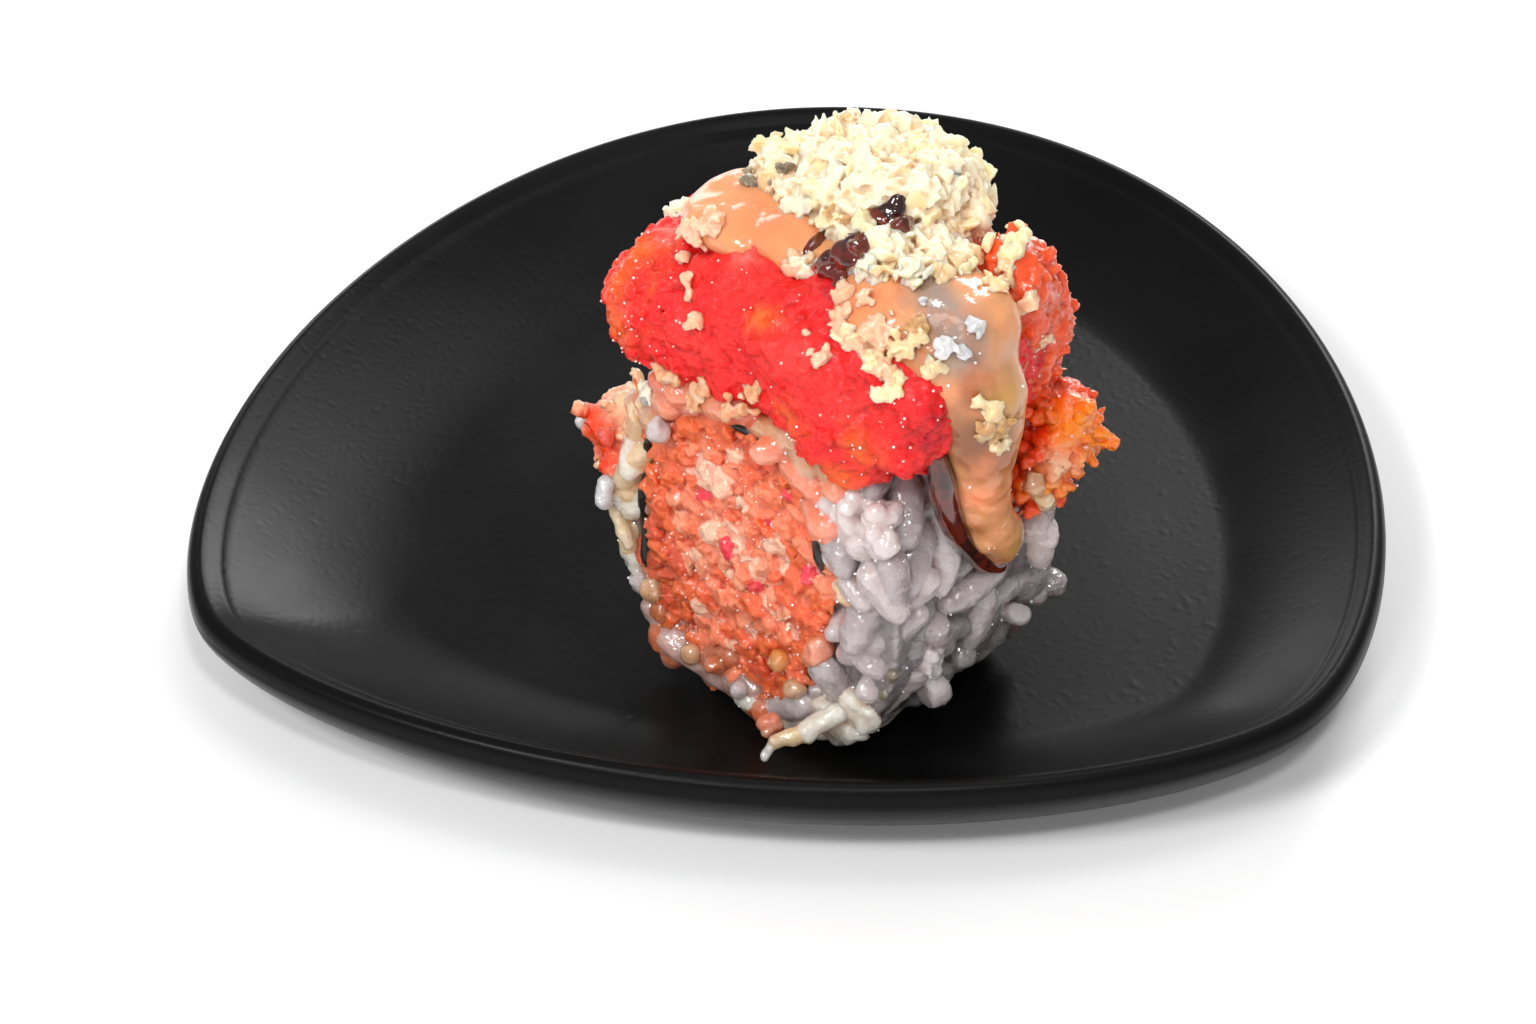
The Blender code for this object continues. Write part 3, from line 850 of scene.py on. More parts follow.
GRAIN_LENGTH = (6.8, 9.4)
GRAIN_WIDTH = (3.0, 3.9)
GRAIN_SPACING = 2.7
CUT_INSET = 0.3 * MM  # how far the middles of the grains lie inside each side of the rice
OUTER_INSET = 0.9 * MM
INNER_INSET = 1.0 * MM
END_INSET = 0.8 * MM
CUT_TRIES = 1500
SIDE_TRIES = 4200
RICE_RECESS = 0.6 * MM
RICE_VOXEL = 0.26 * MM
RICE_MOST = 170000  # triangles
CORE_ROWS = 9
GUIDE_PROUD = 0.3 * MM
HERO_SPACING = 2.4
GRAIN_LIFT = 0.1 * MM  # the least air under a grain
HERO_GRAINS = (  # photograph pixels of both ends, width in millimetres and colour
    ((836, 628), (930, 577), 4.0, LILAC_PALE),
    ((848, 655), (925, 610), 3.4, LILAC),
    ((903, 468), (908, 540), 3.6, LILAC),
    ((941, 486), (944, 592), 3.3, LILAC_PALE),
    ((850, 580), (868, 600), 3.0, LILAC_PALE),
    ((868, 490), (884, 470), 3.0, LILAC),
    ((985, 590), (972, 640), 3.4, LILAC),
    ((1034, 520), (1040, 560), 3.2, RICE_WHITE),
    ((1006, 600), (1018, 630), 3.4, LILAC_PALE),
    ((926, 668), (934, 692), 4.2, LILAC_PALE),
    ((950, 606), (1000, 560), 3.2, LILAC),
    ((880, 672), (858, 648), 2.6, LILAC),
)
RICE_CHUNKS = (  # photograph pixel, size in millimetres and colour
    (850, 522, 4.2, RICE_WHITE), (879, 516, 4.2, RICE_WHITE), (864, 546, 4.4, RICE_WHITE),
    (1038, 538, 3.4, RICE_WHITE), (1012, 612, 3.6, LILAC_PALE), (930, 684, 4.4, LILAC_PALE),
    (962, 656, 3.2, LILAC_DEEP_AND_SHADE), (846, 712, 4.2, RICE_WHITE), (866, 690, 3.0, LILAC_PALE),
    (818, 690, 2.6, LILAC_PALE),
)
RICE_CLUSTERS = (  # photograph pixel, spread in millimetres, how many lumps, and colour
    (848, 522, 2.2, 16, RICE_WHITE), (874, 530, 2.2, 16, RICE_WHITE),
    (842, 562, 1.2, 8, RICE_WHITE), (846, 590, 0.8, 6, RICE_CREAM), (1042, 530, 1.2, 8, RICE_WHITE),
    (862, 712, 1.6, 12, RICE_FOOT), (846, 728, 1.6, 14, RICE_FOOT), (824, 716, 1.4, 10, RICE_FOOT),
    (816, 742, 1.0, 8, RICE_CREAM), (622, 480, 1.2, 10, RICE_CREAM), (624, 505, 1.2, 10, RICE_FOOT),
    (628, 532, 1.2, 10, RICE_CREAM), (636, 556, 1.0, 8, RICE_FOOT), (644, 585, 1.0, 8, LILAC_PALE),
    (930, 660, 1.6, 8, LILAC_PALE), (1000, 640, 1.8, 8, LILAC),
)
RICE_ZONES = (  # x, y and z limits in millimetres and the colours that the grains take there
    ((-30, 5), (-3, 5), (30, 44), (RICE_ORANGE, RICE_TAN, CORAL, PEACH)),
    ((-40, -13), (-3, 8), (15, 34), (RICE_CREAM, RICE_CREAM, RICE_FOOT)),
    ((-40, -12), (-3, 8), (4, 15), (RICE_TAN, RICE_ORANGE, RICE_ORANGE, RICE_ROSY)),
    ((-17, -4), (-3, 7), (-1, 10), (RICE_TAN, RICE_ORANGE, RICE_ROSY, RICE_ROSY)),
    ((-8, 8), (-2, 6), (-1, 7), (RICE_FOOT, RICE_FOOT, LILAC_PALE)),
    # painted shade: the rice's right side, turned away from the key light, takes the darkest grains
    ((11, 16), (4, 30), (-1, 34), (LILAC_DEEP_AND_SHADE, LILAC_DEEP_AND_SHADE, LILAC)),
    # paler grains near the front of the right side: partly real pale grains, partly painted highlight
    ((6, 16), (-2, 9), (8, 30), (LILAC_PALE, LILAC_PALE, LILAC)),
)
RICE_TONES = (LILAC_DEEP_AND_SHADE, LILAC, LILAC, LILAC_PALE)


def rice_tone(place, rng):
    """The colour of a grain, by where it lies in the roll."""
    for *limits, tones in RICE_ZONES:
        if all(low < at / MM < high for at, (low, high) in zip(place, limits)):
            return rng.choice(tones)
    return rng.choice(RICE_TONES)


def cut_spots(rng):
    """Places and directions of the grains that show at both cuts."""
    for y in (CUT_INSET, ROLL_LENGTH - CUT_INSET):
        taken = []
        for _ in range(CUT_TRIES):
            turn = rng.uniform(0.0, math.tau)
            share = rng.random()
            outer = section_point(RICE_SECTION, turn, -OUTER_INSET)
            inner = section_point(FILLING_SECTION, turn, TUNNEL_ROOM + INNER_INSET)
            place = Vector((
                inner[0] + (outer[0] - inner[0]) * share,
                y + rng.uniform(-0.4, 0.6) * MM,
                inner[1] + (outer[1] - inner[1]) * share,
            ))
            if is_apart(place, taken, GRAIN_SPACING * 0.9 * MM):
                taken.append(place)
                tilt = turn + math.pi / 2 + rng.gauss(0.0, 0.5)
                way = Vector((math.cos(tilt), rng.uniform(-0.6, 0.6), math.sin(tilt)))
                yield place, way.normalized()


def side_spots(rng):
    """Places and directions of the grains round the outside of the roll."""
    taken = []
    for _ in range(SIDE_TRIES):
        turn = rng.uniform(0.0, math.tau)
        sink = rng.uniform(-1.7, -0.8) * MM
        x, z = section_point(RICE_SECTION, turn, sink)
        ahead_x, ahead_z = section_point(RICE_SECTION, turn + 0.05, sink)
        place = Vector((x, rng.uniform(END_INSET, ROLL_LENGTH - END_INSET), z))
        if is_apart(place, taken, GRAIN_SPACING * MM):
            taken.append(place)
            round_way = Vector((ahead_x - x, 0.0, ahead_z - z)).normalized()
            lean = rng.uniform(0.0, math.pi)
            sway = Vector((x - RICE_SECTION[0], 0.0, z - RICE_SECTION[1])).normalized()
            way = round_way * math.cos(lean) + Vector((0.0, math.sin(lean), 0.0))
            yield place, (way + sway * rng.uniform(-0.25, 0.25)).normalized()


def make_core(section, recess, outer_recess=0.0, hollow=None):
    """A plain bar or ring along the slice, set back from both cuts."""
    bm = bmesh.new()
    add_tube(bm, (section, -outer_recess), hollow, recess, ROLL_LENGTH - recess, CORE_ROWS)
    return object_from(bm, "core")


def rice_guide():
    """A search tree over the smooth form that the grains fill."""
    bm = bmesh.new()
    add_tube(bm, (RICE_SECTION, GUIDE_PROUD), None, 0.0, ROLL_LENGTH)
    guide = object_from(bm, "guide")
    tree = tree_of(guide)
    bpy.data.objects.remove(guide)
    return tree


def lay_heroes(pile, shapes, guide, rng):
    """The grains laid one by one, and the places they take."""
    laid = []
    for start, end, width, hue in HERO_GRAINS:
        ends = [seen_spot(*pixel, guide)[0] for pixel in (start, end)]
        if None in ends:
            continue
        way = ends[1] - ends[0]
        middle = (ends[0] + ends[1]) / 2
        matrix = lie_along(middle, way, width * MM, way.length + 1.6 * MM)
        pile.add(rng.choice(shapes), matrix, hue)
        laid += [ends[0], middle, ends[1]]
    return laid


def lay_chunks(pile, guide, rng):
    """Broken grains and clusters of small lumps, and the places they take."""
    laid = []
    for point, normal, size, hue in seen_rows(RICE_CHUNKS, guide):
        chunk = chunk_shape(rng, 3, 9, (0.5, 0.95))
        place = point - normal * size * 0.1 * MM
        pile.add(chunk, tumbled(place, size * MM, rng, 0.9), hue)
        laid.append(point)
    lumps = [chunk_shape(rng, 2, 6, (0.5, 0.95)) for _ in range(10)]
    for point, normal, spread, count, hue in seen_rows(RICE_CLUSTERS, guide):
        laid.append(point)
        for _ in range(count):
            shift = scatter(rng, spread * 0.5)
            place = point + shift - normal * (shift.dot(normal) * 0.6)
            pile.add(rng.choice(lumps), tumbled(place, rng.uniform(1.3, 2.8) * MM, rng, 0.8), hue)
    return laid


def lay_grains(pile, shapes, laid, rng):
    """Grains over both cuts and the outside, wherever no listed grain is laid."""
    for place, way in [*cut_spots(rng), *side_spots(rng)]:
        if not is_apart(place, laid, HERO_SPACING * MM):
            continue
        length = rng.uniform(*GRAIN_LENGTH) * MM
        width = rng.uniform(*GRAIN_WIDTH) * MM
        lowest = place.z - abs(way.z) * length / 2 - width / 2
        place = place + Vector((0.0, 0.0, max(0.0, GRAIN_LIFT - lowest)))
        pile.add(rng.choice(shapes), lie_along(place, way, width, length), rice_tone(place, rng))


def make_rice():
    """Wet grains packed over a plain ring, with the ones that show best laid one by one."""
    rng = random.Random(31)
    guide = rice_guide()
    shapes = [grain_shape(rng) for _ in range(10)]
    pile = Pile()
    hollow = (FILLING_SECTION, TUNNEL_ROOM)
    # the ring's deep lilac shows between the grains as painted crevice shade
    pile.add_core(make_core(RICE_SECTION, RICE_RECESS, RICE_RECESS, hollow), LILAC_DEEP_AND_SHADE)
    laid = lay_heroes(pile, shapes, guide, rng)
    laid += lay_chunks(pile, guide, rng)
    lay_grains(pile, shapes, laid, rng)
    rice = fused(pile, "rice_grains", RICE_VOXEL, 2, RICE_MOST)
    add_relief(rice, (layered_field, 0.12, 1.6, 5, 2), (lump_field, 0.18, 1.3, 12))
    paint_crease_shade(rice, 0.5 * MM, 0.25)
    return rice


# Seaweed

NORI_EXTRA = 0.15 * MM
NORI_PROUD = 0.3 * MM
NORI_ROWS = 25
NORI_RAGGED = 0.7 * MM
NORI_GREEN = (0.006, 0.009, 0.006)


def make_nori():
    bm = bmesh.new()
    outer = (FILLING_SECTION, NORI_OUTER + NORI_EXTRA)
    inner = (FILLING_SECTION, NORI_INNER)
    add_tube(bm, outer, inner, -NORI_PROUD, ROLL_LENGTH + NORI_PROUD, NORI_ROWS, NORI_RAGGED)
    nori = object_from(bm, "nori_sheet")
    points = points_of(nori)
    waves = np.stack([smooth_field(points, 3.0 * MM, seed) for seed in (1, 2, 3)], axis=1)
    set_points(nori, points + waves * np.array((0.25, 0.3, 0.25)) * MM)
    nori.data.shade_smooth()
    return nori


def nori_material():
    material = new_material("damp_seaweed", NORI_GREEN, 0.35, Coat_Weight=0.4)
    use_bump(material, noise_socket(material, 0.8 * MM, 4.0), 0.15 * MM)
    speck = step_socket(material, noise_socket(material, 1.6 * MM), 0.5, 0.8)
    colour = mix_socket(material, speck, NORI_GREEN, (0.03, 0.03, 0.014))
    use_socket(material, colour, "Base Color")
    return material


# Filling

FLAKE_SIZES = (1.4, 1.8, 2.2, 2.6, 3.2)
FLAKE_TRIES = 5200
FILLING_VOXEL = 0.2 * MM
FILLING_MOST = 155000  # triangles
FILLING_RECESS = 0.2 * MM
FLAKE_DEPTH = 0.1 * MM
FLAKE_SPACING = 1.2
FLAKE_SPILL = 1.3 * MM
PINK_FLAKES = (  # photograph pixels, size in millimetres
    (679, 620, 4.2), (735, 547, 3.2), (767, 525, 2.8), (706, 489, 2.8), (793, 492, 2.0),
    (808, 570, 3.4), (755, 580, 2.2),
)
FLAKE_TONES = (PEACH, PEACH, CORAL, PEACH, BLUSH, SHELL)
RIM_TONES = (CORAL, CORAL, PEACH, RUSSET)
EDGE_TONES = (BRICK, CORAL, RUSSET, RUSSET)


def flake_room(x, z):
    """How far flakes reach past the filling's section, or stop short where seaweed shows."""
    if z < (14.0 if x < FILLING_SECTION[0] else 10.0) * MM:
        return FLAKE_SPILL
    if z > (29.0 if x < FILLING_SECTION[0] else 17.0) * MM:
        return FLAKE_SPILL
    return -0.5 * MM


def flake_tone(place, rng):
    """Peach in the middle of the filling, browner towards its left and its foot."""
    x, _, z = place / MM
    edge = section_fill(FILLING_SECTION, place.x, place.z) + rng.uniform(-0.25, 0.25)
    at_foot = x > -6.0 and z < 16.0
    at_side = x < -14.5 and z < 32.0
    if z > 33.0 or edge > 0.45 and (at_foot or at_side):
        return rng.choice(EDGE_TONES)
    if edge > 0.55:
        return rng.choice(RIM_TONES)
    return rng.choice(FLAKE_TONES)


def lay_flakes(pile, shapes, y, out, rng):
    """Flakes over the cut at y, which faces the way given by the sign of out."""
    middle_x, middle_z, half_width, half_height, _ = FILLING_SECTION
    taken = []
    for _ in range(FLAKE_TRIES):
        x = middle_x + rng.uniform(-1.1, 1.1) * half_width
        z = middle_z + rng.uniform(-1.1, 1.1) * half_height
        if section_fill(FILLING_SECTION, x, z, flake_room(x, z)) > 1.0:
            continue
        place = Vector((x, y + rng.uniform(-0.35, 0.35) * MM, z))
        if is_apart(place, taken, FLAKE_SPACING * MM):
            taken.append(place)
            size = rng.choice(FLAKE_SIZES) * MM
            way = (Vector((0.0, -out, 0.0)) + random_way(rng) * 0.55).normalized()
            matrix = lie_flat(place, way, size * 1.3, size * 0.6)
            pile.add(rng.choice(shapes), matrix, flake_tone(place, rng))


def make_filling():
    """Chopped flakes pressed into both cuts of a plain core."""
    rng = random.Random(17)
    core = make_core(FILLING_SECTION, FILLING_RECESS)
    tree = tree_of(core)
    pile = Pile()
    pile.add_core(core, CORAL)
    shapes = [chunk_shape(rng, 3, 9, (0.45, 0.9)) for _ in range(20)]
    lay_flakes(pile, shapes, FLAKE_DEPTH, 1.0, rng)
    lay_flakes(pile, shapes, ROLL_LENGTH - FLAKE_DEPTH, -1.0, rng)
    for point, normal, size in seen_rows(PINK_FLAKES, tree):
        way = (normal + random_way(rng) * 0.3).normalized()
        matrix = lie_flat(point + normal * 0.3 * MM, way, size * MM, size * 0.7 * MM)
        pile.add(rng.choice(shapes), matrix, HOT_PINK)
    filling = fused(pile, "filling_flakes", FILLING_VOXEL, 1, FILLING_MOST)
    add_relief(filling, (shard_field, 0.42, 1.3, 2), lift=0.05)
    paint_crease_shade(filling, 0.4 * MM, 0.3)
    return filling


# Tuna

TUNA_CRAGS = 1300
TUNA_VOXEL = 0.28 * MM
TUNA_LUMPS = (  # place, half sizes, squareness, height and size of the waves, and fineness
    ((-1.2, 10.6, 45.6), (17.6, 12.6, 8.6), 3.4, 1.4, 4.5, 5),
    ((-16.6, 7.6, 44.0), (9.8, 9.6, 6.8), 3.2, 1.4, 4.5, 5),
    ((4.6, 2.6, 41.2), (5.2, 4.4, 5.0), 2.5, 0.8, 3.0),
)
TUNA_DABS = (  # photograph pixel, reach in millimetres and colour; the rose and pink dabs are painted sheen
    (615, 282, 2.6, TUNA_ORANGE), (614, 322, 2.8, TUNA_ORANGE), (640, 250, 3.0, TUNA_ORANGE),
    (700, 262, 2.4, TUNA_ROSE_SHEEN), (742, 290, 2.8, TUNA_ROSE_SHEEN), (690, 345, 2.2, TUNA_ROSE_SHEEN),
    (770, 345, 2.4, TUNA_ROSE_SHEEN), (850, 405, 2.6, TUNA_ROSE_SHEEN), (806, 372, 2.2, TUNA_ROSE_SHEEN),
    (760, 318, 1.6, TUNA_ORANGE), (668, 232, 1.6, TUNA_PINK_SHEEN), (742, 258, 1.4, TUNA_PINK_SHEEN),
    (840, 482, 2.2, TUNA_ORANGE), (860, 450, 1.8, TUNA_ORANGE), (790, 420, 1.6, TUNA_ORANGE),
    (838, 268, 1.6, CRIMSON), (826, 290, 1.2, CRIMSON), (938, 420, 1.8, CRIMSON),
    (925, 445, 1.6, CRIMSON),
)


def skin_spots(bm):
    """The middle and the normal of every face that a bmesh holds."""
    bm.normal_update()
    return [(face.calc_center_median(), face.normal.copy()) for face in bm.faces]


def add_crags(bm, rng, count, sizes):
    """Press small torn lumps into the outside of what a bmesh already holds."""
    skin = skin_spots(bm)
    shapes = [chunk_shape(rng, 2, 6, (0.4, 0.9)) for _ in range(12)]
    for place, normal in rng.sample(skin, count):
        size = rng.uniform(*sizes) * MM
        add_shape(bm, rng.choice(shapes), tumbled(place - normal * size * 0.08, size, rng, 0.7))


def make_tuna():
    bm = bmesh.new()
    for lump in TUNA_LUMPS:
        add_blob(bm, *lump)
    add_crags(bm, random.Random(9), TUNA_CRAGS, (0.8, 2.0))
    tuna = object_from(bm, "tuna_mince")
    reskin(tuna, TUNA_VOXEL, 6)
    lumps = (lump_field, 0.25, 1.7, 4)
    add_relief(tuna, (layered_field, 0.5, 4.0, 21), lumps, (shard_field, 0.3, 1.1, 8))
    dab_colours(tuna, TUNA_RED, TUNA_DABS, 2.0 * MM)
    paint_crease_shade(tuna, 0.3 * MM, 0.35)
    return tuna


# Salmon mince at both sides

MINCE_VOXEL = 0.25 * MM
RIGHT_SPIKES = 130
LEFT_SPIKES = 24
RIGHT_LUMPS = (  # place and half sizes, in millimetres
    ((11.2, 19.0, 46.2), (4.2, 5.6, 10.8)),
    ((15.2, 22.0, 35.8), (3.6, 4.2, 3.8)),
    ((14.8, 19.2, 31.4), (2.4, 2.4, 4.2)),
)
LEFT_LUMPS = (((-26.0, 4.2, 24.2), (5.0, 4.6, 4.4)),)
RIGHT_DABS = (  # photograph pixel, reach in millimetres and colour
    (1040, 435, 3.8, MINCE_ORANGE), (1020, 460, 2.8, MINCE_ORANGE), (1050, 400, 2.0, MINCE_ORANGE),
    (1078, 425, 3.0, MINCE_YELLOW), (1095, 440, 2.8, MINCE_YELLOW), (1050, 490, 2.4, MINCE_YELLOW),
    (1060, 470, 1.6, CREAM),
)
LEFT_DABS = (
    (600, 440, 3.4, MINCE_ORANGE), (590, 428, 3.0, MINCE_ORANGE), (604, 456, 3.0, MINCE_ORANGE),
    (596, 402, 2.0, CREAM), (625, 400, 2.2, CREAM), (640, 440, 1.8, PEACH),
)


def spike_shape():
    """A short blunt thorn that points along z."""
    bm = bmesh.new()
    bmesh.ops.create_cone(bm, segments=7, radius1=1.0, radius2=0.35, depth=2.0, cap_ends=True)
    bmesh.ops.triangulate(bm, faces=bm.faces)
    return shape_from(bm)


def make_mince(name, lumps, spikes, ground, dabs, seed):
    """A torn clump of minced fish, with short ragged points all over it."""
    rng = random.Random(seed)
    bm = bmesh.new()
    for place, half_sizes in lumps:
        add_blob(bm, place, half_sizes, bump=1.6, grain=3.6)
    spike = spike_shape()
    for place, normal in rng.sample(skin_spots(bm), spikes):
        way = (normal + Vector([rng.uniform(-0.6, 0.6) for _ in range(3)])).normalized()
        length = rng.uniform(1.2, 3.0) * MM
        width = rng.uniform(0.9, 2.0) * MM
        add_shape(bm, spike, lie_along(place + way * length * 0.2, way, width, length))
    mince = object_from(bm, name)
    reskin(mince, MINCE_VOXEL, 2)
    waves = (layered_field, 0.3, 2.6, seed)
    add_relief(mince, (lump_field, 0.3, 1.5, seed), waves, (shard_field, 0.35, 1.3, seed))
    dab_colours(mince, ground, dabs, 2.0 * MM)
    paint_crease_shade(mince, 0.4 * MM, 0.4)
    return mince


# Sauce

SAUCE_VOXEL = 0.35 * MM
SAUCE_LUMPS = (  # place, half sizes and height of the waves, in millimetres
    ((-4.6, 16.4, 54.0), (12.0, 6.6, 3.0), 0.6),
    ((-14.6, 9.6, 53.4), (7.0, 6.4, 2.6), 0.8),
    ((-8.4, 9.4, 54.0), (5.6, 4.6, 2.6), 0.8),
    ((8.6, 8.8, 52.4), (8.8, 7.8, 5.6), 0.8),
)
DRIP_ROUTE = (  # x, y, z and thickness, in millimetres
    (12.6, 8.0, 52.0, 5.4),
    (15.4, 8.6, 47.0, 4.8),
    (15.7, 9.0, 41.0, 3.7),
    (14.9, 10.0, 35.0, 3.3),
    (14.6, 11.8, 30.0, 2.9),
    (14.3, 14.2, 25.6, 2.9),
)
DRIP_STEPS = 6
SAUCE_DABS = (  # photograph pixel, reach in millimetres and colour
    (860, 300, 4.0, SAUCE_PEACH), (775, 215, 5.0, SAUCE_PEACH), (945, 310, 2.8, SAUCE_GREY),
    (958, 330, 2.4, SAUCE_GREY), (965, 355, 3.0, SAUCE_GREY), (972, 390, 2.0, SAUCE_RUST),
    (1020, 360, 2.0, SAUCE_RUST), (935, 290, 1.8, SAUCE_GREY), (915, 345, 1.8, SAUCE_BROWN),
    (985, 272, 1.6, SAUCE_BROWN), (985, 432, 3.2, SAUCE_BROWN), (972, 452, 3.2, SAUCE_BROWN),
    (995, 462, 2.6, SAUCE_RUST), (1003, 420, 1.6, SAUCE_YOLK), (1012, 400, 1.8, SAUCE_YOLK),
    (975, 530, 1.6, SAUCE_RUST), (1002, 560, 1.8, SAUCE_RUST), (1018, 545, 2.2, SAUCE_YOLK),
    (1020, 510, 1.8, SAUCE_YOLK), (975, 500, 2.4, SAUCE_PEACH),
)
EEL_SAUCE = (  # photograph pixels along a smear, width, thickness and scatter in millimetres
    (((808, 250), (816, 241), (824, 233)), 1.1, 0.6, 0.15),
    (((830, 264), (842, 256), (858, 244)), 2.8, 1.0, 0.35),
    (((830, 268), (842, 273)), 1.8, 0.9, 0.2),
    (((880, 216), (896, 208)), 2.2, 1.0, 0.25),
    (((890, 222), (908, 224)), 1.6, 0.9, 0.2),
)
DARK_RUN = (  # x, y, z and thickness, in millimetres: a run of it down the drip's left side
    (14.3, 4.2, 41.6, 1.0),
    (14.5, 4.8, 38.6, 1.4),
    (14.4, 5.8, 35.0, 1.5),
    (14.3, 7.6, 30.8, 1.4),
    (14.2, 10.0, 27.0, 1.25),
    (14.3, 12.2, 23.8, 1.1),
    (14.7, 14.2, 22.4, 0.9),
)
SMEAR_STEPS = 12
SMEAR_DROPS = 5
SMEAR_VOXEL = 0.17 * MM


def add_run(bm, route, steps, detail):
    """A run of sauce along a route, as a string of balls."""
    for *place, thickness in smooth_route(route, steps):
        add_blob(bm, place, (thickness,) * 3, 2.0, detail=detail)


def make_sauce():
    bm = bmesh.new()
    for place, half_sizes, bump in SAUCE_LUMPS:
        add_blob(bm, place, half_sizes, bump=bump, grain=6.0)
    add_run(bm, DRIP_ROUTE, DRIP_STEPS, 3)
    sauce = object_from(bm, "mayo_sauce")
    reskin(sauce, SAUCE_VOXEL, 10)
    add_relief(sauce, (layered_field, 0.4, 4.0, 41, 2), (smooth_field, 0.1, 1.4, 6))
    dab_colours(sauce, SAUCE_TAN, SAUCE_DABS, 3.0 * MM)
    return sauce


def make_smears(tree, rng):
    """Thin uneven runs of a dark glossy sauce that lie on whatever shows at the given pixels."""
    ball = ball_shape(2)
    bm = bmesh.new()
    for pixels, width, thickness, spread in EEL_SAUCE:
        for point, normal in seen_rows(smooth_route(pixels, SMEAR_STEPS), tree):
            for _ in range(SMEAR_DROPS):
                nearest, lie, _, _ = tree.find_nearest(point + scatter(rng, spread))
                size = width * rng.uniform(0.5, 0.9) * MM
                lie = (lie + normal * 2.0).normalized()
                add_shape(bm, ball, lie_flat(nearest, lie, size, thickness * MM))
    add_run(bm, DARK_RUN, SMEAR_STEPS, 2)
    smears = object_from(bm, "eel_sauce")
    reskin(smears, SMEAR_VOXEL, 11)
    return smears


def eel_sauce_material():
    material = new_material("eel_sauce", (0.022, 0.006, 0.003), 0.12, Coat_Weight=0.8)
    thin = step_socket(material, noise_socket(material, 2.4 * MM), 0.4, 0.6)
    colour = mix_socket(material, thin, (0.02, 0.005, 0.003), (0.12, 0.012, 0.004))
    use_socket(material, colour, "Base Color")
    return material


# Crunchy crumbs

HEAP_LUMPS = (  # place and half sizes in millimetres, and squareness
    ((-3.6, 17.6, 56.6), (8.4, 7.2, 5.6), 2.4),
    ((-12.0, 17.0, 54.8), (6.6, 4.8, 2.6), 2.5),
    ((4.0, 11.4, 55.6), (5.2, 4.4, 3.2), 2.5),
)
CRUMB_SHAPES = 30
HEAP_CRUMBS = 600
HEAP_CHIPS = 2200
HEAP_CORE_VOXEL = 0.45 * MM
HEAP_VOXEL = 0.15 * MM
HEAP_CREASE_ROUNDS = 16
HEAP_MOST = 170000  # triangles
LOOSE_VOXEL = 0.13 * MM
LOOSE_MOST = 75000  # triangles
CRUMB_SIZES = (0.7, 1.0, 1.3, 1.6, 2.1)
CRUMB_PATCHES = (  # photograph pixel, spread in millimetres, how many, and colour
    (682, 212, 1.7, 16, CRUMB_PALE), (694, 232, 1.6, 12, CRUMB_ROSY),
    (712, 226, 1.2, 8, CRUMB_ROSY), (684, 262, 0.5, 4, CRUMB_ROSY), (690, 280, 0.5, 4, CRUMB_ROSY),
    (691, 298, 0.4, 3, CRUMB_ROSY), (695, 321, 0.6, 4, CRUMB_ROSY), (792, 264, 1.4, 12, CRUMB_ROSY),
    (804, 270, 1.0, 8, CRUMB_PALE), (824, 353, 0.9, 7, CRUMB_ROSY), (806, 334, 0.4, 2, CRUMB_ROSY),
    (846, 322, 1.3, 12, CRUMB_ROSY), (852, 336, 1.4, 12, CRUMB_YELLOW),
    (866, 346, 1.6, 16, CRUMB_ROSY), (876, 362, 1.2, 12, CRUMB_YELLOW),
    (890, 372, 1.2, 12, CRUMB_ROSY), (897, 384, 1.3, 14, CRUMB_YELLOW),
    (868, 300, 1.0, 6, CRUMB_ROSY), (842, 296, 1.0, 6, CRUMB_ROSY), (880, 322, 1.2, 8, CRUMB_ROSY),
    (900, 350, 1.0, 8, CRUMB_TAN), (912, 342, 1.2, 9, CRUMB_TAN), (920, 330, 0.8, 5, CRUMB_TOAST),
    (932, 362, 1.2, 8, CRUMB_TAN), (1104, 404, 0.6, 5, CRUMB_PALE),
    (1000, 215, 1.6, 12, CRUMB_PALE), (1010, 245, 1.6, 12, CRUMB_YELLOW),
    (1004, 270, 1.6, 12, CRUMB_TAN), (1030, 300, 1.0, 6, CRUMB_ROSY),
    (1044, 340, 1.0, 6, CRUMB_ROSY), (822, 262, 1.0, 8, CRUMB_PALE),
    (866, 262, 1.2, 10, CRUMB_PALE), (915, 268, 1.4, 12, CRUMB_PALE),
    (965, 268, 1.4, 12, CRUMB_YELLOW), (884, 270, 1.2, 9, CRUMB_TAN),
    (940, 272, 1.4, 10, CRUMB_TAN), (990, 285, 1.2, 8, CRUMB_TAN), (992, 408, 1.0, 8, CRUMB_TAN),
    (1002, 425, 1.1, 10, CRUMB_TOAST), (986, 430, 1.2, 10, CRUMB_TOAST),
    (1000, 446, 0.8, 5, CRUMB_TAN), (752, 182, 0.9, 5, SESAME_GREY),
    (780, 173, 1.0, 4, SESAME_GREY), (752, 388, 1.4, 6, RICE_TAN), (665, 372, 1.4, 8, RICE_TAN),
    (700, 400, 2.0, 12, RICE_TAN), (735, 408, 1.6, 10, RICE_TAN), (648, 388, 1.0, 6, CRUMB_PALE),
    (926, 305, 0.5, 2, GLASSY), (976, 328, 0.8, 4, GLASSY), (955, 352, 0.9, 5, GLASSY),
)


def crumb_tone(place, rng):
    """Cream on top of the heap, tanner at its foot, with a few toasted bits."""
    low = 1.0 - blend_step(place.z / MM, 54.0, 58.5)
    if rng.random() < 0.01:
        return CRUMB_TOAST
    if rng.random() < low * 0.45:
        return CRUMB_TAN
    return CRUMB_YELLOW if rng.random() < 0.3 else CRUMB_PALE


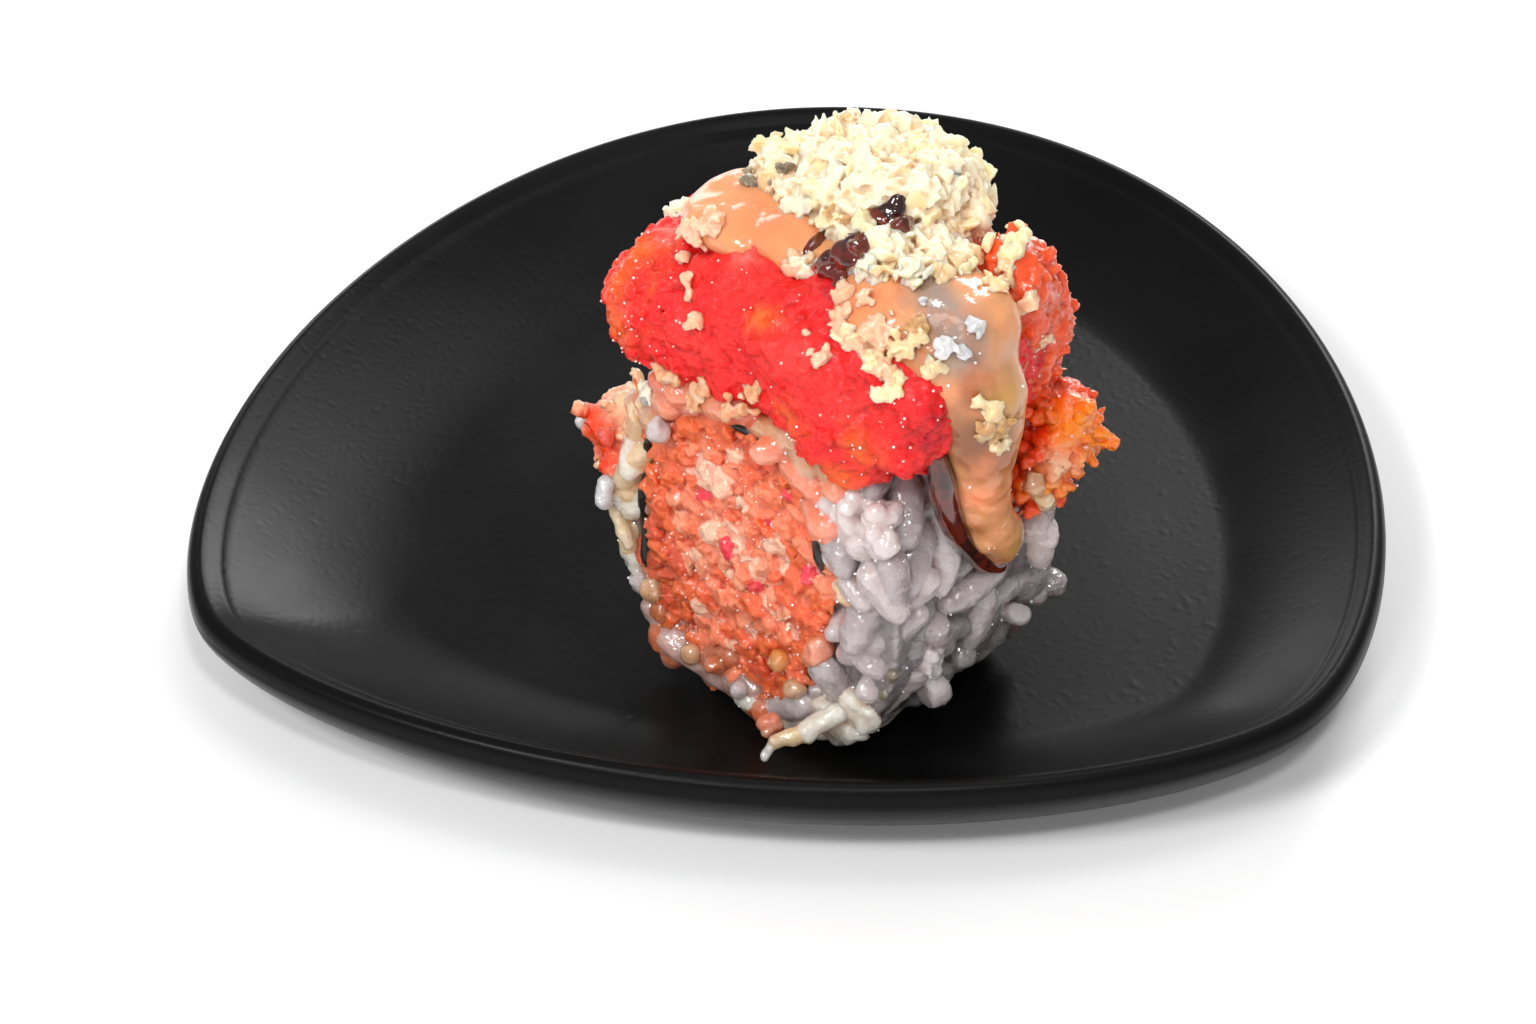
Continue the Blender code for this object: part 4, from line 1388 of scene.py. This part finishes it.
def make_heap(rng, shapes):
    bm = bmesh.new()
    for place, half_sizes, squareness in HEAP_LUMPS:
        add_blob(bm, place, half_sizes, squareness, bump=0.8)
    core = object_from(bm, "heap_core")
    reskin(core, HEAP_CORE_VOXEL, 2)
    spots = [Vector(point) for point in points_of(core)]
    ways = [Vector(normal) for normal in normals_of(core)]
    pile = Pile()
    pile.add_core(core, CRUMB_YELLOW)
    picked = rng.sample(range(len(spots)), HEAP_CRUMBS + HEAP_CHIPS)
    for order, index in enumerate(picked):
        size = rng.choice(CRUMB_SIZES) * MM
        hue = crumb_tone(spots[index], rng)
        if order < HEAP_CHIPS:
            place = spots[index] + ways[index] * rng.uniform(0.1, 0.8) * size
            way = (ways[index] + random_way(rng) * 1.2).normalized()
            pile.add(chip_shape(rng), lie_flat(place, way, size * 1.6, size * 1.5), hue)
        else:
            place = spots[index] + ways[index] * rng.uniform(-0.1, 0.5) * size
            pile.add(rng.choice(shapes), tumbled(place, size, rng, 0.6), hue)
    heap = fused(pile, "crunchy_heap", HEAP_VOXEL, 0, HEAP_MOST)
    add_relief(heap, (shard_field, 0.16, 0.9, 31))
    paint_crease_shade(heap, 0.35 * MM, 0.25, HEAP_CREASE_ROUNDS)
    return heap


def make_loose_crumbs(shapes, tree, rng):
    """The stray crumbs and flakes that lie on the tuna and the sauce."""
    pile = Pile()
    for point, normal, spread, count, hue in seen_rows(CRUMB_PATCHES, tree):
        for _ in range(count):
            shift = scatter(rng, spread * 0.5)
            shift -= normal * shift.dot(normal)
            nearest, lie, _, _ = tree.find_nearest(point + shift)
            size = rng.uniform(0.8, 2.0) * MM
            place = nearest + lie * size * 0.2
            lean = (lie + random_way(rng) * 0.7).normalized()
            if rng.random() < 0.6:
                pile.add(chip_shape(rng), lie_flat(place, lean, size * 1.3, size * 1.8), hue)
            else:
                pile.add(rng.choice(shapes), tumbled(place, size, rng, 0.5), hue)
    crumbs = fused(pile, "loose_crumbs", LOOSE_VOXEL, 0, LOOSE_MOST)
    add_relief(crumbs, (shard_field, 0.12, 0.8, 37))
    return crumbs


# Single grains, torn bits and strands

ODD_BITS = (  # photograph pixel, width and height in millimetres, and colour
    (818, 652, 3.4, 4.6, PEACH), (600, 497, 1.8, 1.8, RICE_CREAM), (658, 430, 2.4, 4.2, LILAC_PALE),
    (648, 400, 1.4, 1.6, RICE_WHITE), (581, 422, 1.0, 1.4, RICE_WHITE), (768, 728, 2.0, 2.2, CORAL),
    (592, 446, 2.6, 3.4, MINCE_ORANGE), (606, 436, 2.0, 2.6, MINCE_ORANGE),
    (652, 590, 2.6, 3.0, RICE_TAN), (660, 612, 2.2, 2.4, RICE_ORANGE),
    (690, 652, 2.4, 2.6, RICE_TAN), (716, 664, 2.6, 2.4, RICE_ORANGE),
    (740, 690, 2.2, 2.2, LILAC_PALE), (778, 660, 2.8, 2.6, AMBER), (796, 690, 2.6, 2.6, RICE_TAN),
    (892, 676, 1.6, 2.0, SESAME_GREY), (884, 694, 1.4, 1.8, SESAME_GREY),
    (1044, 500, 2.6, 3.0, RICE_CREAM), (1034, 482, 2.2, 3.0, RICE_TAN),
)
STRANDS = (  # pixel whose depth they share, pixels along them, thickness and colour
    ((838, 712), ((840, 712), (824, 722), (808, 732)), 2.4, RICE_FOOT),
    ((838, 712), ((814, 730), (798, 735), (784, 738), (776, 742)), 1.8, RICE_CREAM),
    ((838, 712), ((781, 738), (772, 746), (765, 757)), 1.3, RICE_FOOT),
    ((800, 700), ((764, 722), (772, 720)), 1.9, CORAL),
    ((800, 700), ((768, 732), (776, 726)), 1.5, PEACH),
    ((650, 420), ((640, 414), (633, 402), (637, 391), (634, 380)), 0.4, MINCE_ORANGE),
    ((640, 500), ((606, 484), (603, 500)), 2.2, GLASSY),
    ((640, 520), ((616, 508), (622, 526), (628, 544)), 1.4, RICE_CREAM),
)
STRAND_CUTS = 10
BITS_VOXEL = 0.15 * MM
BITS_MOST = 90000  # triangles


def level_spot(pixel, anchor, tree, low):
    """The place at a pixel that is as far off as what shows at another, above a lowest height."""
    point, _ = seen_spot(*anchor, tree)
    place, way = view_ray(*pixel)
    back = STAND.inverted().to_3x3() @ camera_back()
    spot = place + way * ((point - place).dot(back) / way.dot(back))
    if spot.z < low:
        spot = place + way * ((low - place.z) / way.z)
    return spot


def add_strands(pile, tree):
    ball = ball_shape(2)
    for anchor, route, thickness, hue in STRANDS:
        for pixel in smooth_route(route, STRAND_CUTS):
            spot = level_spot(pixel, anchor, tree, thickness * 0.5 * MM)
            pile.add(ball, Matrix.Translation(spot) @ Matrix.Scale(thickness * 0.5 * MM, 4), hue)


def make_odd_bits(tree, rng):
    """Single grains, beads and torn bits that stand out from what they lie on."""
    pile = Pile()
    for point, _, width, height, hue in seen_rows(ODD_BITS, tree):
        upright = Vector((0.0, 0.0, 1.0)) + random_way(rng) * 0.3
        bit = chunk_shape(rng, 3, 5, (0.7, 0.98))
        pile.add(bit, lie_along(point, upright, width * MM, height * MM), hue)
    add_strands(pile, tree)
    bits = fused(pile, "odd_bits", BITS_VOXEL, 3, BITS_MOST)
    add_relief(bits, (layered_field, 0.28, 1.6, 14, 2))
    return bits


# Beads, whose pale colour paints glints

BEAD_SIZES = (0.14 * MM, 0.36 * MM)
GLINT_BEADS = {  # how many on each piece, and their pale colour, which paints glints
    "tuna_mince": (420, BEAD_PINK_GLINT),
    "filling_flakes": (420, BEAD_PINK_GLINT),
    "mince_right_clump": (110, BEAD_PINK_GLINT),
    "rice_grains": (420, BEAD_WHITE_GLINT),
    "mayo_sauce": (40, BEAD_WHITE_GLINT),
}


def make_glint_beads(rng):
    """Tiny beads of oil and moisture over the wet pieces, pale in colour to paint their glints."""
    pile = Pile()
    ball = ball_shape(1)
    for name, (count, hue) in GLINT_BEADS.items():
        obj = bpy.data.objects[name]
        points = points_of(obj)
        normals = normals_of(obj)
        for index in rng.sample(range(len(points)), count):
            size = rng.uniform(*BEAD_SIZES)
            place = Vector(points[index] + normals[index] * size * 0.2)
            if place.z > size:
                pile.add(ball, lie_flat(place, Vector(normals[index]), size, size), hue)
    return pile.build("moisture_beads")


# Stage

FLOOR_HALF = 1.5
FLOOR_WHITE = (0.9, 0.9, 0.9)
DAYLIGHT = 0.36
ROLL = (0.0, -0.03, 0.03)
LIGHTS = (  # name, place, what it points at, size in metres and power in watts
    ("key", (-0.38, -0.42, 0.62), ROLL, 0.2, 3.2),
    ("spark", (0.06, -0.45, 0.62), ROLL, 0.07, 1.3),
    ("second_spark", (-0.2, -0.6, 0.4), ROLL, 0.07, 0.9),
    ("top", (0.1, 0.05, 0.8), ROLL, 0.3, 1.0),
    ("gleam", (0.28, 0.72, 0.44), (-0.04, 0.0, 0.0), 0.3, 3.4),
    ("low_gleam", (-0.25, 0.95, 0.25), (0.05, -0.02, 0.0), 0.4, 1.4),
)


def add_light(name, place, aim, size, power):
    data = bpy.data.lights.new(name, "AREA")
    data.size = size
    data.energy = power
    light = add_object(name, data)
    light.location = place
    light.rotation_euler = (Vector(place) - Vector(aim)).to_track_quat("Z", "Y").to_euler()


def make_floor():
    bm = bmesh.new()
    bmesh.ops.create_grid(bm, x_segments=2, y_segments=2, size=FLOOR_HALF)
    floor = object_from(bm, "pale_floor")
    material = new_material("pale_floor", FLOOR_WHITE, 0.7)
    patches = noise_socket(material, 300 * MM)
    colour = mix_socket(material, patches, FLOOR_WHITE, (0.92, 0.92, 0.92))
    use_socket(material, colour, "Base Color")
    floor.data.materials.append(material)
    floor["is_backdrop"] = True


def make_studio():
    world = bpy.data.worlds.new("studio")
    world.use_nodes = True
    background = world.node_tree.nodes["Background"]
    background.inputs["Color"].default_value = (1.0, 1.0, 1.0, 1.0)
    background.inputs["Strength"].default_value = DAYLIGHT
    bpy.context.scene.world = world
    for light in LIGHTS:
        add_light(*light)
    bpy.context.scene.view_settings.view_transform = "Standard"


def write_sizes(cad_bounds):
    """Gather the box of the solids and the box of the dressed model, side by side."""
    boxes = [[list(corner) for corner in box] for box in (cad_bounds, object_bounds())]


def make_food():
    """The food's pieces, each with its material, its slot and the nodes it stands for."""
    rice = make_rice()
    nori = make_nori()
    filling = make_filling()
    tuna = make_tuna()
    right = make_mince("mince_right_clump", RIGHT_LUMPS, RIGHT_SPIKES, MINCE_CORAL, RIGHT_DABS, 3)
    left = make_mince("mince_left_clump", LEFT_LUMPS, LEFT_SPIKES, CREAM, LEFT_DABS, 5)
    sauce = make_sauce()
    rng = random.Random(77)
    crumbs = [chunk_shape(rng, 2, 7, (0.3, 0.85)) for _ in range(CRUMB_SHAPES)]
    heap = make_heap(rng, crumbs)
    tree = tree_of(rice, filling, tuna, right, left, sauce, heap)
    loose = make_loose_crumbs(crumbs, tree, rng)
    bits = make_odd_bits(tree, rng)
    eel = make_smears(tree, rng)
    beads = make_glint_beads(rng)
    salmon = food_material("salmon_mince")
    crisp = food_material("crisp_crumb")
    return (
        (beads, food_material("painted_glint_bead"), "tuna"),
        (rice, food_material("wet_rice"), "rice", "rice"),
        (nori, nori_material(), "nori", "nori"),
        (filling, food_material("flaked_filling"), "filling", "filling"),
        (tuna, food_material("minced_tuna"), "tuna", "tuna"),
        (right, salmon, "mince", "mince_right"),
        (left, salmon, "mince", "mince_left"),
        (sauce, food_material("mayo_sauce"), "sauce", "sauce"),
        (eel, eel_sauce_material(), "sauce"),
        (heap, crisp, "tempura", "tempura"),
        (loose, crisp, "tempura"),
        (bits, food_material("wet_rice"), "rice"),
    )


def main():
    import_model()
    cad_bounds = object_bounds()
    make_camera()
    make_floor()
    make_studio()
    finish_piece(make_plate(), plate_material(), "plate", "plate")
    for piece in make_food():
        piece[0].data.transform(STAND)
        finish_piece(*piece)
    write_sizes(cad_bounds)


main()
